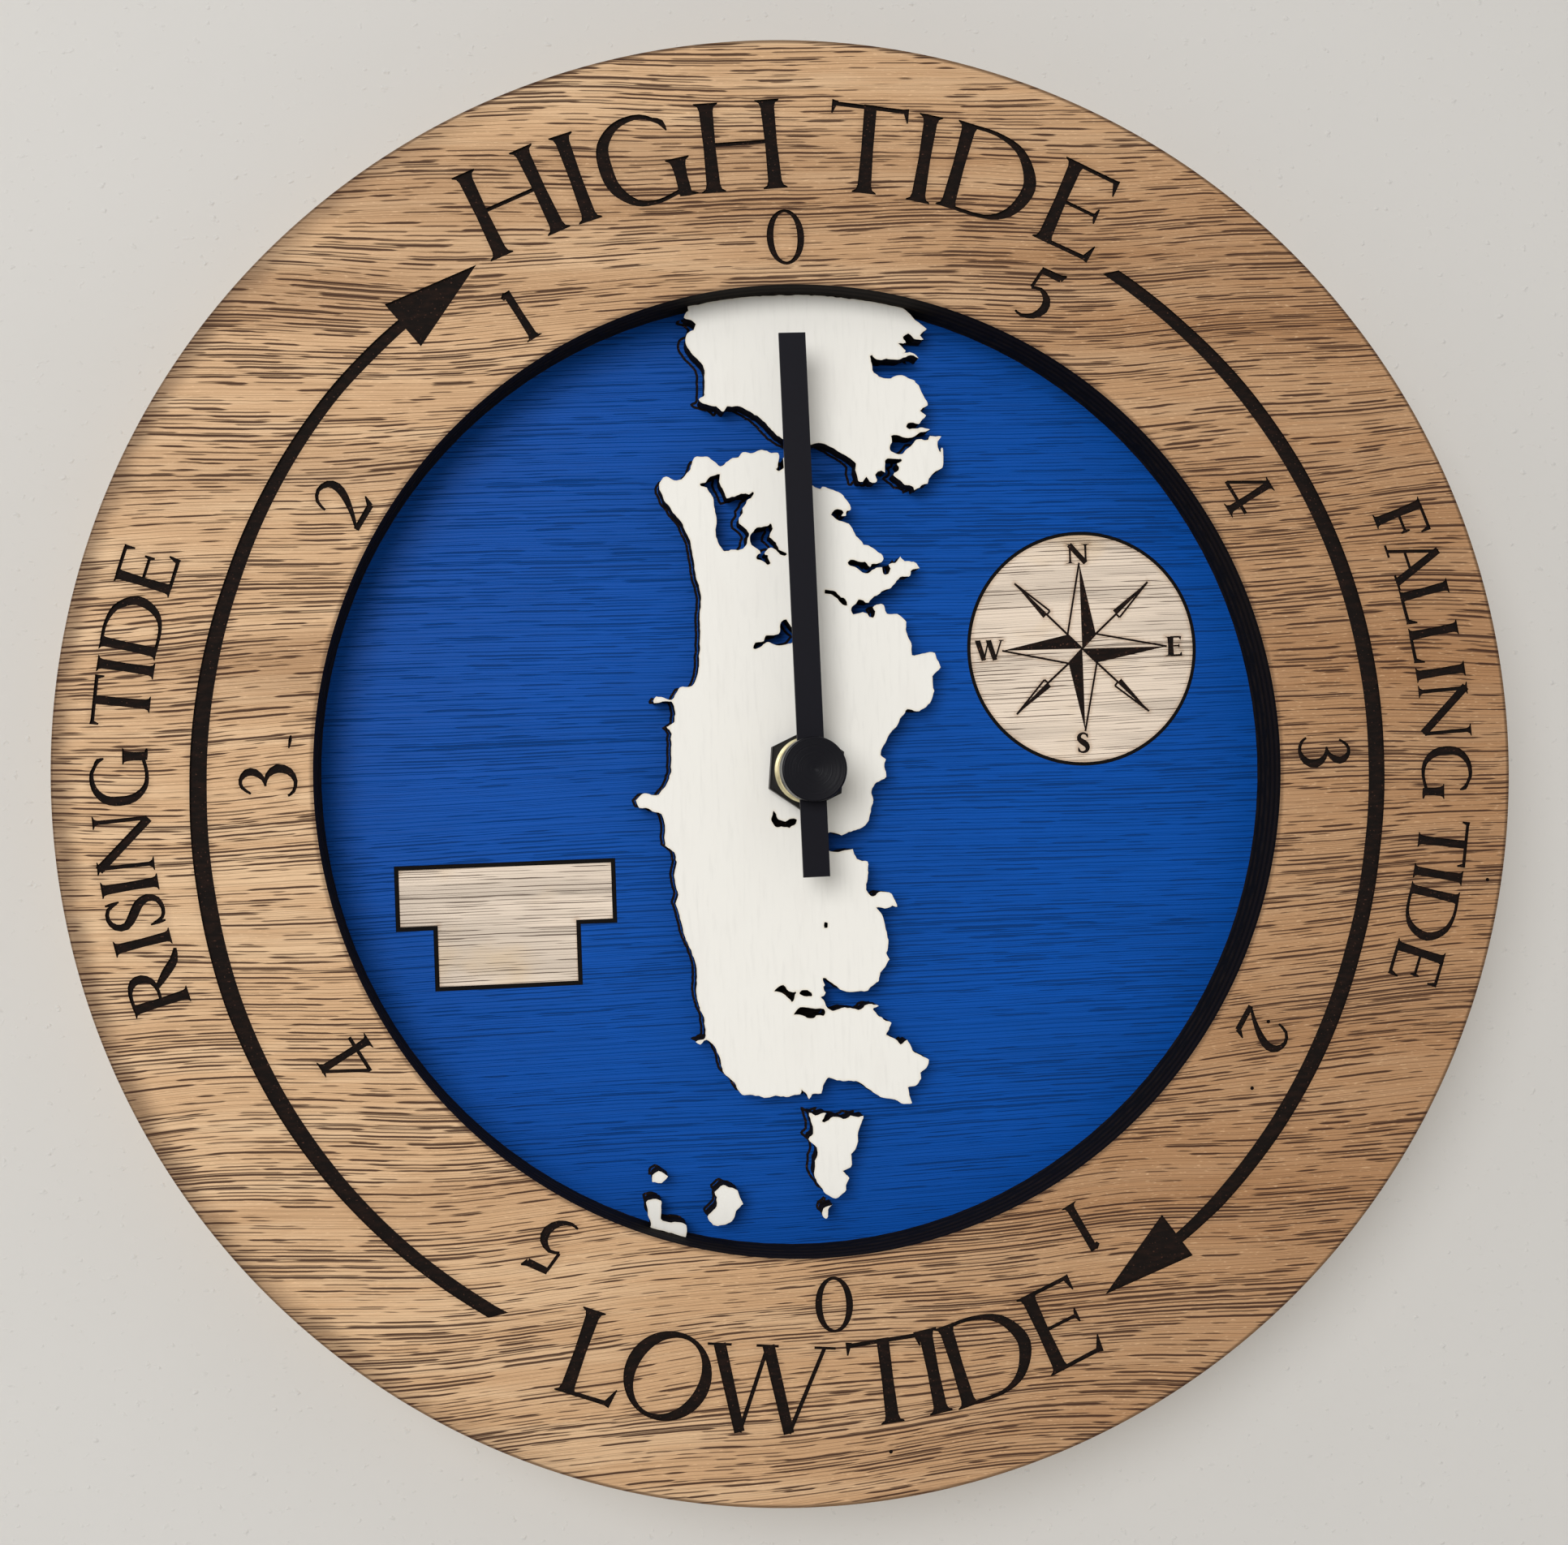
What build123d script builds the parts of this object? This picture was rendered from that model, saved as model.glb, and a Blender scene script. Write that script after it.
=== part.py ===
from build123d import *
import math
import os

os.makedirs("parts", exist_ok=True)

# A round tide clock that hangs on a wall. The wall is the plane y = 0 and the clock faces -Y,
# with +X to the right as seen from the front and +Z up. Its hand turns about the Y axis.
# Every height is measured off the wall, towards the viewer.

# Wooden body
clock_diameter = 280
ring_width = 47
ring_thickness = 6.5
spacer_thickness = 6.5
dial_thickness = 4
land_thickness = 5.5
land_clearance = 0.1
inlay_depth = 2
inlay_clearance = 0.15

# Compass disc and plaque, let into the dial disc
compass_diameter = 47
plaque_width = 42.5
plaque_row_height = 12.6
plaque_step_width = 28.3
plaque_step_height = 11.8
compass_place_shares = (0.619, 0.243)
plaque_place_shares = (-0.63, -0.237)

# Quartz movement case around one size AA cell
cell_diameter = 14.5
cell_length = 50.5
cell_nub_diameter = 5.5
cell_nub_length = 1
cell_clearance = 0.15
case_wall = 1.2
case_corner = 3
contact_room = 1.55
bay_distance = 10.8
contact_thickness = 0.4
contact_width = 9
cover_thickness = 1.2
cover_clearance = 0.1

# Hub, from the threaded bush out to the cap
bush_diameter = 8
bush_flange_diameter = 10
bush_clearance = 0.15
hanger_thickness = 1
washer_diameter = 24
washer_thickness = 1
nut_flats = 14
nut_thickness = 3
nut_turn = 5.7
collar_diameter = 12.9
collar_height = 6
collar_rim = 1.2
collar_taper = 0.7
hub_gap = 0.4
pipe_diameter = 5
pipe_bore = 3.4
pipe_clearance = 0.08
hand_bush_diameter = 6.8
hand_bush_head = 9.2
hand_bush_head_thickness = 0.5
cap_diameter = 12.3
cap_height = 4.3
cap_wall = 0.8
cap_dish = 0.25

# Hand
hand_reach = 83.1
hand_tail = 20.4
hand_width = 5.1
hand_thickness = 0.8
hand_lean = 0.56

# Hanger plate, stepped back over the top of the case
hanger_width = 22
hanger_hole_diameter = 6
hanger_rise = 12
hanger_step = 9
hanger_case_gap = 0.3

# Wheels of the movement
wheel_gap = 1
plate_gap = 0.4
wheel_thickness = 1
fine_wheel_thickness = 0.8
tide_wheel_thickness = 1.2
train_plate_thickness = 0.8
arbor_diameter = 1
set_arbor_diameter = 1.5
pivot_clearance = 0.05
boss_diameter = 2.4
boss_bearing = 1.5
hub_wall = 0.7
knob_diameter = 11
knob_thickness = 2
knob_clearance = 0.7
knob_recess = 0.4
knob_grip = 1
knob_grooves = 18
well_wall = 1
well_floor = 0.8
tide_module = 0.4
motion_module = 5 / 12
centre_module = 0.25
train_module = 0.2
tide_teeth = 40
minute_pinion_teeth = 10
minute_teeth = 36
cannon_teeth = 12
centre_teeth = 60
third_teeth = 64
second_teeth = 60
pinion_teeth = 8
minute_direction = 150
third_direction = 40
second_direction = 60
rotor_direction = 150
addendum_share = 0.75
dedendum_share = 1.2
tooth_tip_share = 0.09
tooth_root_share = 0.21

# Motor, circuit and screws
magnet_diameter = 4.4
magnet_thickness = 2
rotor_air_gap = 0.4
stator_neck = 0.55
stator_leg = 4
stator_left_reach = 15.3
stator_right_reach = 14.3
coil_diameter = 6
bobbin_diameter = 6.4
bobbin_length = 20
bobbin_flange = 1
core_width = 3
core_clearance = 0.1
coil_clearance = 0.2
coil_room = 1.95
board_gap = 1
board_length = 26
board_thickness = 1
board_post_shares = (0.15, 0.85)
chip_height_share = 0.6
crystal_height_share = 0.25
chip_size = 6
chip_thickness = 0.8
crystal_diameter = 2
crystal_length = 6
post_diameter = 2.6
screw_diameter = 1.2
screw_head_diameter = 2.8
screw_head_thickness = 0.9
screw_grip = 2
lower_post_side = 12
lower_post_drop = 7.5
plate_margin = 2

# Heights of the layers off the wall
movement_depth = cell_diameter + 2 * cell_clearance + case_wall
case_inside = movement_depth - case_wall
hanger_front = movement_depth + hanger_thickness
dial_back = hanger_front + washer_thickness
dial_front = dial_back + dial_thickness
spacer_front = dial_front + spacer_thickness
ring_front = spacer_front + ring_thickness
land_front = dial_front + land_thickness
nut_front = land_front + nut_thickness
collar_front = nut_front + collar_height
hand_back = collar_front + hub_gap
hand_front = hand_back + hand_thickness
cap_front = hand_front + cap_height
bush_front = nut_front + collar_height / 2

# Heights of the wheels, stacked back from the inside of the case's front wall
tide_front = case_inside - wheel_gap
tide_back = tide_front - tide_wheel_thickness
motion_front = tide_back - wheel_gap
motion_back = motion_front - wheel_thickness
train_plate_front = motion_back - plate_gap
train_plate_back = train_plate_front - train_plate_thickness
centre_front = train_plate_back - plate_gap
centre_back = centre_front - wheel_thickness
third_front = centre_back - wheel_gap
third_back = third_front - wheel_thickness
second_front = third_back - wheel_gap
second_back = second_front - fine_wheel_thickness
cover_boss_front = second_back - wheel_gap
stator_back = third_front + plate_gap
stator_front = stator_back + wheel_thickness
pivot_back = cover_boss_front - boss_bearing + pivot_clearance
pivot_front = train_plate_front - pivot_clearance

# Sides and places across the face, from the hub
opening_diameter = clock_diameter - 2 * ring_width
opening_radius = opening_diameter / 2
compass_place = tuple(share * opening_radius for share in compass_place_shares)
plaque_place = tuple(share * opening_radius for share in plaque_place_shares)
case_half = cell_length / 2 + contact_room + case_wall
case_inner = case_half - case_wall
cell_height = cell_clearance + cell_diameter / 2
bay_top = bay_distance + case_wall
cell_drop = bay_top + cell_clearance + cell_diameter / 2
case_low = -cell_drop - cell_diameter / 2 - cell_clearance
board_low = -bay_distance + contact_thickness


def at(height, place=(0, 0)):
    """Return the plane that faces the viewer at a height off the wall, centred on a place."""
    return Plane(origin=(place[0], -height, place[1]), x_dir=(1, 0, 0), z_dir=(0, -1, 0))


def polar(place, distance, direction):
    """Return the place at a distance and a direction in degrees from another place."""
    turn = math.radians(direction)
    return (place[0] + distance * math.cos(turn), place[1] + distance * math.sin(turn))


def mesh_distance(teeth, other_teeth, module):
    """Return the distance between the centres of two meshed wheels."""
    return module * (teeth + other_teeth) / 2


def tooth_points(teeth, module, facing=0, gap=False):
    """Return a toothed outline in which a tooth, or a gap, faces a direction in degrees."""
    pitch = 360 / teeth
    start = facing + (pitch / 2 if gap else 0)
    tip_radius = module * (teeth / 2 + addendum_share)
    root_radius = module * (teeth / 2 - dedendum_share)
    corner_shares = ((-tooth_root_share, root_radius), (-tooth_tip_share, tip_radius),
                     (tooth_tip_share, tip_radius), (tooth_root_share, root_radius))
    return [polar((0, 0), radius, start + (tooth + share) * pitch)
            for tooth in range(teeth) for share, radius in corner_shares]


def wheel(place, back, front, teeth, module, facing, gap=False):
    """Add a toothed wheel between two heights to the part being built."""
    with BuildSketch(at(back, place)) as profile:
        with BuildLine():
            Polyline(*tooth_points(teeth, module, facing, gap), close=True)
        make_face()
    extrude(profile.sketch, amount=front - back)


def disc(place, back, front, diameter, mode=Mode.ADD):
    """Add a round disc or rod between two heights to the part being built, or cut it out."""
    with BuildSketch(at(back, place)) as profile:
        Circle(diameter / 2)
    extrude(profile.sketch, amount=front - back, mode=mode)


def slab(corner, opposite, back, front, mode=Mode.ADD):
    """Add a block between two corners and two heights to the part being built, or cut it out."""
    middle = ((corner[0] + opposite[0]) / 2, (corner[1] + opposite[1]) / 2)
    with BuildSketch(at(back, middle)) as profile:
        Rectangle(abs(opposite[0] - corner[0]), abs(opposite[1] - corner[1]))
    extrude(profile.sketch, amount=front - back, mode=mode)


# Places of the wheels, each in mesh with the one before
centre_place = (0, 0)
minute_place = polar(centre_place, mesh_distance(minute_teeth, cannon_teeth, motion_module),
                     minute_direction)
third_place = polar(centre_place, mesh_distance(centre_teeth, pinion_teeth, centre_module),
                    third_direction)
second_place = polar(third_place, mesh_distance(third_teeth, pinion_teeth, train_module),
                     second_direction)
rotor_place = polar(second_place, mesh_distance(second_teeth, pinion_teeth, train_module),
                    rotor_direction)

# Places of the motor and of the posts that carry the train plate
rotor_hole_diameter = magnet_diameter + 2 * rotor_air_gap
stator_half = rotor_hole_diameter / 2 + stator_neck
coil_place = (rotor_place[0], rotor_place[1] + stator_half + coil_clearance + bobbin_diameter / 2)
core_back = stator_back - wheel_thickness
coil_height = (core_back + stator_back) / 2
left_leg = (rotor_place[0] - stator_left_reach, rotor_place[1])
right_leg = (rotor_place[0] + stator_right_reach, rotor_place[1])
lower_posts = [(-lower_post_side, -lower_post_drop), (lower_post_side, -lower_post_drop)]
plate_posts = [left_leg, right_leg] + lower_posts
plate_right = right_leg[0] + plate_margin
plate_left = -lower_post_side - plate_margin

# Top of the room inside the case, and the circuit board in the room beside the train plate
case_top = coil_place[1] + bobbin_diameter / 2 + coil_room
board_left = -case_inner + contact_thickness
board_width = plate_left - board_gap - board_left
board_posts = [(board_left + board_width / 2, board_low + board_length * share)
               for share in board_post_shares]

# The photo's view, for places read from it: its middle and focus in photo pixels, the eye's
# place from the hub on the ring's face in opening radii, and its turns in degrees
photo_middle = (966, 952)
photo_focus = 2434
eye_shares = (-0.513, 4.021, -0.054)
photo_yaw = -6.5
photo_pitch = 0.7
photo_roll = 2.06
eye = Vector(eye_shares[0] * opening_radius, -ring_front - eye_shares[1] * opening_radius,
             eye_shares[2] * opening_radius)
ahead = Vector(0, 1, 0).rotate(Axis.X, photo_pitch).rotate(Axis.Z, photo_yaw)
across = Vector(1, 0, 0).rotate(Axis.Z, photo_yaw).rotate(Axis((0, 0, 0), ahead), photo_roll)
above = across.cross(ahead)


def on_land(pixel):
    """Return where a photo pixel meets the land's front face, as x and z from the hub."""
    right = (pixel[0] - photo_middle[0]) / photo_focus
    down = (pixel[1] - photo_middle[1]) / photo_focus
    ray = ahead + across * right - above * down
    place = eye + ray * ((-land_front - eye.Y) / ray.Y)
    return (place.X, place.Z)


def raised(coast, lakes=()):
    """Add the land inside a coast of photo pixels, without its lakes, to the part being built."""
    with BuildSketch(at(dial_front)) as profile:
        with BuildLine():
            Polyline(*[on_land(pixel) for pixel in coast], close=True)
        make_face()
        for lake in lakes:
            with BuildSketch(Plane.XY, mode=Mode.SUBTRACT):
                with BuildLine():
                    Polyline(*[on_land(pixel) for pixel in lake], close=True)
                make_face()
        Circle(opening_radius - land_clearance, mode=Mode.INTERSECT)
    extrude(profile.sketch, amount=land_thickness)


# Coasts as photo pixels, clockwise
north_coast_pixels = [
    (847, 377), (848, 382), (843, 391), (852, 394), (857, 399), (855, 407), (847, 411), (845, 419),
    (848, 428), (854, 437), (862, 444), (866, 450), (868, 463), (868, 483), (867, 488), (861, 492),
    (867, 497), (877, 500), (883, 500), (889, 506), (892, 506), (896, 500), (902, 500), (912, 501),
    (922, 506), (933, 512), (943, 520), (953, 532), (963, 540), (979, 547), (1000, 547),
    (1012, 546), (1022, 549), (1035, 557), (1045, 563), (1055, 571), (1054, 579), (1056, 585),
    (1058, 593), (1063, 593), (1068, 587), (1072, 593), (1078, 594), (1081, 591), (1079, 585),
    (1082, 581), (1086, 580), (1091, 582), (1091, 568), (1094, 565), (1110, 565), (1111, 568),
    (1105, 571), (1107, 575), (1107, 579), (1101, 585), (1109, 592), (1115, 597), (1121, 597),
    (1125, 600), (1127, 604), (1136, 598), (1142, 595), (1148, 585), (1156, 579), (1162, 576),
    (1162, 553), (1160, 553), (1159, 557), (1156, 551), (1156, 544), (1160, 537), (1146, 537),
    (1144, 542), (1136, 541), (1130, 542), (1124, 547), (1118, 553), (1114, 558), (1110, 560),
    (1104, 558), (1098, 556), (1097, 551), (1099, 545), (1098, 536), (1105, 536), (1112, 538),
    (1119, 540), (1124, 539), (1129, 535), (1137, 532), (1146, 529), (1137, 527), (1131, 528),
    (1121, 528), (1117, 526), (1118, 523), (1122, 521), (1132, 522), (1135, 519), (1141, 512),
    (1134, 506), (1137, 502), (1143, 499), (1142, 493), (1135, 483), (1132, 475), (1128, 471),
    (1126, 468), (1119, 466), (1115, 463), (1108, 462), (1103, 463), (1098, 466), (1091, 466),
    (1083, 464), (1077, 459), (1075, 452), (1074, 445), (1072, 438), (1075, 437), (1078, 441),
    (1084, 443), (1092, 442), (1105, 443), (1113, 441), (1119, 438), (1126, 438), (1132, 441),
    (1127, 436), (1121, 434), (1113, 435), (1116, 432), (1110, 426), (1107, 423), (1116, 422),
    (1113, 415), (1119, 411), (1125, 415), (1129, 417), (1138, 418), (1134, 413), (1142, 405),
    (1134, 399), (1128, 394), (1119, 385), (1107, 375), (1104, 330), (980, 320), (840, 330)]
main_coast_pixels = [
    (813, 603), (813, 594), (821, 587), (834, 592), (843, 588), (851, 578), (856, 563), (869, 562),
    (874, 564), (879, 568), (884, 571), (888, 574), (893, 572), (900, 566), (910, 563), (916, 558),
    (928, 558), (939, 554), (951, 558), (959, 558), (959, 575), (957, 578), (960, 580), (963, 579),
    (966, 576), (967, 563), (1001, 597), (1011, 603), (1014, 600), (1027, 603), (1039, 610),
    (1047, 622), (1048, 628), (1044, 629), (1042, 632), (1043, 635), (1037, 635), (1040, 632),
    (1039, 629), (1035, 628), (1029, 628), (1026, 631), (1024, 634), (1028, 637), (1034, 641),
    (1041, 643), (1046, 645), (1051, 651), (1055, 660), (1061, 667), (1064, 671), (1070, 672),
    (1076, 675), (1081, 679), (1086, 682), (1089, 688), (1086, 692), (1080, 694), (1074, 695),
    (1072, 698), (1070, 696), (1066, 692), (1058, 692), (1052, 690), (1048, 690), (1045, 693),
    (1047, 697), (1055, 700), (1063, 705), (1070, 706), (1075, 702), (1080, 699), (1087, 698),
    (1088, 705), (1091, 708), (1095, 707), (1097, 700), (1096, 695), (1103, 693), (1107, 690),
    (1109, 685), (1113, 689), (1118, 691), (1126, 692), (1134, 699), (1127, 701), (1122, 703),
    (1121, 709), (1118, 710), (1112, 710), (1107, 713), (1101, 720), (1098, 724), (1087, 729),
    (1075, 737), (1070, 742), (1064, 740), (1058, 739), (1056, 744), (1050, 747), (1049, 752),
    (1051, 757), (1057, 756), (1063, 754), (1069, 756), (1071, 760), (1076, 761), (1078, 758),
    (1079, 753), (1076, 748), (1080, 745), (1086, 744), (1089, 746), (1090, 752), (1093, 756),
    (1099, 756), (1106, 757), (1117, 766), (1116, 775), (1119, 784), (1123, 792), (1124, 807),
    (1136, 805), (1146, 803), (1152, 805), (1159, 822), (1149, 833), (1151, 851), (1146, 866),
    (1133, 876), (1118, 874), (1113, 880), (1104, 895), (1096, 905), (1091, 915), (1086, 924),
    (1085, 930), (1092, 935), (1089, 942), (1092, 957), (1080, 964), (1074, 974), (1076, 986),
    (1072, 1003), (1071, 1011), (1060, 1021), (1049, 1024), (1037, 1029), (1023, 1025),
    (1012, 1032), (1012, 1042), (1024, 1048), (1033, 1050), (1044, 1047), (1051, 1046),
    (1056, 1058), (1069, 1062), (1070, 1072), (1068, 1096), (1073, 1104), (1079, 1103),
    (1085, 1098), (1099, 1102), (1106, 1117), (1100, 1115), (1094, 1119), (1080, 1118),
    (1088, 1129), (1091, 1142), (1095, 1161), (1092, 1174), (1096, 1182), (1085, 1198),
    (1083, 1208), (1081, 1210), (1076, 1214), (1070, 1218), (1068, 1220), (1054, 1222),
    (1040, 1221), (1035, 1219), (1031, 1215), (1025, 1211), (1017, 1206), (1014, 1206),
    (1016, 1211), (1017, 1214), (1015, 1216), (1016, 1221), (1017, 1223), (1015, 1227),
    (1012, 1229), (1015, 1232), (1017, 1236), (1020, 1242), (1024, 1244), (1028, 1245),
    (1034, 1243), (1041, 1241), (1048, 1242), (1054, 1243), (1058, 1244), (1064, 1242),
    (1066, 1239), (1071, 1237), (1077, 1238), (1081, 1238), (1083, 1239), (1081, 1241),
    (1077, 1242), (1076, 1244), (1077, 1246), (1081, 1250), (1086, 1254), (1092, 1258),
    (1096, 1259), (1098, 1261), (1096, 1266), (1094, 1270), (1092, 1275), (1103, 1280),
    (1110, 1287), (1118, 1281), (1127, 1297), (1135, 1300), (1145, 1305), (1142, 1316),
    (1134, 1321), (1135, 1329), (1128, 1338), (1119, 1339), (1120, 1346), (1124, 1359),
    (1111, 1359), (1103, 1355), (1085, 1351), (1068, 1340), (1055, 1332), (1039, 1332),
    (1021, 1328), (1014, 1338), (1012, 1347), (1001, 1348), (997, 1354), (993, 1346), (988, 1342),
    (986, 1348), (972, 1351), (956, 1350), (942, 1352), (931, 1350), (915, 1348), (909, 1342),
    (905, 1334), (893, 1323), (889, 1313), (887, 1303), (881, 1289), (871, 1281), (863, 1287),
    (858, 1283), (867, 1280), (870, 1276), (868, 1257), (863, 1241), (859, 1230), (859, 1193),
    (854, 1177), (846, 1158), (840, 1139), (836, 1121), (833, 1113), (836, 1102), (832, 1088),
    (832, 1075), (834, 1062), (831, 1050), (820, 1042), (819, 1032), (820, 1016), (815, 1003),
    (804, 1000), (799, 996), (788, 995), (784, 986), (793, 977), (803, 980), (812, 979),
    (822, 965), (827, 951), (827, 904), (821, 896), (831, 889), (832, 877), (828, 864), (806, 866),
    (809, 858), (828, 862), (834, 854), (838, 847), (853, 845), (861, 830), (862, 804), (863, 763),
    (863, 731), (857, 704), (853, 681), (851, 669), (840, 643), (828, 628), (818, 613)]
lake_pixels = [
    [(863, 596), (869, 594), (871, 591), (875, 587), (881, 585), (887, 584), (887, 593),
     (889, 599), (892, 605), (894, 611), (896, 614), (902, 612), (911, 610), (916, 608),
     (919, 607), (923, 609), (925, 608), (927, 606), (929, 607), (928, 611), (926, 614),
     (922, 616), (919, 620), (915, 626), (915, 631), (914, 634), (911, 637), (910, 641),
     (911, 645), (916, 649), (920, 652), (923, 657), (922, 661), (921, 665), (921, 669),
     (918, 673), (912, 677), (904, 677), (898, 678), (893, 679), (890, 677), (887, 671),
     (884, 664), (882, 656), (883, 641), (881, 627), (879, 616), (876, 608), (871, 601), (864, 599)],
    [(924, 664), (925, 659), (928, 654), (933, 650), (941, 649), (946, 648), (949, 645),
     (951, 646), (952, 651), (950, 656), (949, 661), (954, 666), (958, 671), (959, 674),
     (960, 677), (964, 679), (969, 681), (970, 683), (967, 685), (961, 683), (958, 679),
     (955, 676), (951, 674), (947, 675), (944, 678), (942, 681), (943, 683), (947, 684),
     (947, 689), (949, 693), (947, 695), (944, 693), (940, 691), (933, 689), (932, 686),
     (934, 683), (938, 681), (935, 678), (931, 674), (926, 671)],
    [(928, 798), (931, 792), (942, 790), (944, 783), (960, 781), (963, 766), (969, 763),
     (975, 772), (985, 782), (975, 792), (963, 794), (957, 795), (945, 791), (939, 796), (931, 800)],
    [(1017, 726), (1023, 727), (1030, 730), (1037, 735), (1042, 738), (1044, 745), (1041, 746),
     (1036, 742), (1031, 736), (1024, 732), (1017, 731)],
    [(953, 999), (957, 1003), (958, 1008), (962, 1011), (968, 1012), (973, 1009), (978, 1008),
     (982, 1010), (981, 1015), (976, 1018), (973, 1020), (967, 1019), (963, 1018), (958, 1019),
     (954, 1017), (951, 1012), (951, 1008), (952, 1004)],
    [(954, 1221), (960, 1216), (965, 1213), (967, 1214), (969, 1216), (972, 1221), (977, 1222),
     (981, 1221), (982, 1224), (980, 1227), (978, 1232), (976, 1234), (972, 1230), (968, 1227),
     (964, 1223), (959, 1222)],
    [(985, 1223), (988, 1220), (992, 1220), (1000, 1223), (1001, 1226), (1000, 1228), (991, 1227),
     (986, 1225)],
    [(978, 1250), (981, 1245), (986, 1241), (991, 1240), (999, 1242), (1008, 1243), (1014, 1242),
     (1016, 1243), (1017, 1246), (1015, 1250), (1012, 1251), (1006, 1251), (1004, 1254),
     (995, 1254), (989, 1251)],
    [(1016, 1137), (1020, 1137), (1020, 1143), (1016, 1143)]]
south_coast_pixels = [
    (998, 1371), (1005, 1374), (1018, 1371), (1013, 1381), (1016, 1383), (1027, 1376),
    (1042, 1378), (1048, 1374), (1055, 1376), (1064, 1375), (1062, 1384), (1058, 1395),
    (1057, 1410), (1049, 1422), (1049, 1438), (1039, 1443), (1047, 1451), (1042, 1460),
    (1043, 1466), (1033, 1475), (1027, 1476), (1018, 1471), (1007, 1456), (1004, 1445),
    (1005, 1430), (1008, 1423), (1007, 1414), (997, 1403), (1002, 1397), (1003, 1391), (999, 1382)]
island_pixels = [
    [(804, 1457), (804, 1448), (812, 1443), (823, 1450), (815, 1457)],
    [(797, 1481), (802, 1478), (815, 1479), (814, 1494), (817, 1504), (842, 1507), (846, 1510),
     (845, 1560), (790, 1560), (803, 1510), (799, 1497)],
    [(880, 1469), (891, 1460), (899, 1463), (909, 1466), (912, 1475), (917, 1483), (907, 1492),
     (903, 1505), (888, 1510), (879, 1509), (872, 1499), (883, 1486), (883, 1475)],
    [(1026, 1484), (1020, 1490), (1020, 1499), (1017, 1501), (1014, 1497), (1015, 1489)]]


# Ring with the tide scale on its face
with BuildPart() as front_ring:
    disc(centre_place, spacer_front, ring_front, clock_diameter)
    disc(centre_place, spacer_front, ring_front, opening_diameter, mode=Mode.SUBTRACT)

# Spacer that sets the depth of the recess
with BuildPart() as spacer_ring:
    disc(centre_place, dial_front, spacer_front, clock_diameter)
    disc(centre_place, dial_front, spacer_front, opening_diameter, mode=Mode.SUBTRACT)


def plaque_outline(growth=0):
    """Add the plaque's two steps, grown all round, to the sketch being drawn."""
    Rectangle(plaque_width + 2 * growth, plaque_row_height + 2 * growth)
    with Locations((0, -(plaque_row_height + plaque_step_height) / 2)):
        Rectangle(plaque_step_width + 2 * growth, plaque_step_height + 2 * growth)


# Painted disc with a pocket for each inlay
inlay_floor = dial_front - inlay_depth
with BuildPart() as dial_disc:
    disc(centre_place, dial_back, dial_front, clock_diameter)
    disc(centre_place, dial_back, dial_front, bush_diameter + 2 * bush_clearance, Mode.SUBTRACT)
    disc(compass_place, inlay_floor, dial_front, compass_diameter + 2 * inlay_clearance,
         Mode.SUBTRACT)
    with BuildSketch(at(inlay_floor, plaque_place)):
        plaque_outline(inlay_clearance)
    extrude(amount=inlay_depth, mode=Mode.SUBTRACT)

with BuildPart() as compass_disc:
    disc(compass_place, inlay_floor, dial_front, compass_diameter)

with BuildPart() as name_plaque:
    with BuildSketch(at(inlay_floor, plaque_place)):
        plaque_outline()
    extrude(amount=inlay_depth)

# Raised land
with BuildPart() as land_north:
    raised(north_coast_pixels)

with BuildPart() as land_main:
    raised(main_coast_pixels, lake_pixels)
    disc(centre_place, dial_front, land_front, bush_diameter + 2 * bush_clearance, Mode.SUBTRACT)

with BuildPart() as land_south:
    raised(south_coast_pixels)

with BuildPart() as small_islands:
    for island in island_pixels:
        raised(island)

# Bush that is moulded in the case's front wall and carries the whole dial
with BuildPart() as threaded_bush:
    disc(centre_place, case_inside, movement_depth, bush_flange_diameter)
    disc(centre_place, movement_depth, bush_front, bush_diameter)
    disc(centre_place, case_inside, bush_front, pipe_diameter + 2 * pipe_clearance, Mode.SUBTRACT)

with BuildPart() as rubber_washer:
    disc(centre_place, hanger_front, dial_back, washer_diameter)
    disc(centre_place, hanger_front, dial_back, bush_diameter + 2 * bush_clearance, Mode.SUBTRACT)

with BuildPart() as centre_nut:
    with BuildSketch(at(land_front)):
        RegularPolygon(nut_flats / 2, 6, major_radius=False, rotation=30 - nut_turn)
        Circle(bush_diameter / 2, mode=Mode.SUBTRACT)
    extrude(amount=nut_thickness)
    nut_rim = centre_nut.faces().sort_by(Axis.Y)[0].outer_wire().edges()
    chamfer(nut_rim, length=nut_thickness / 8)


def turned(profile):
    """Add a turned piece, from points of radius and height, to the part being built."""
    with BuildSketch(Plane.XY) as half:
        with BuildLine():
            Polyline(*[(radius, -height) for radius, height in profile], close=True)
        make_face()
    revolve(half.sketch, axis=Axis.Y)


# Turned collar that locks the nut, with a rim, a groove and a tapered nose
collar_radius = collar_diameter / 2
collar_nose = nut_front + collar_height / 2
with BuildPart() as brass_collar:
    turned([(bush_diameter / 2, nut_front), (collar_radius - collar_taper / 2, nut_front),
            (collar_radius, nut_front + collar_taper / 2), (collar_radius, nut_front + collar_rim),
            (collar_radius - collar_taper, nut_front + collar_rim + collar_taper / 2),
            (collar_radius - collar_taper / 2, collar_nose),
            (collar_radius - 2 * collar_taper, collar_front),
            (bush_diameter / 2, collar_front)])

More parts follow.
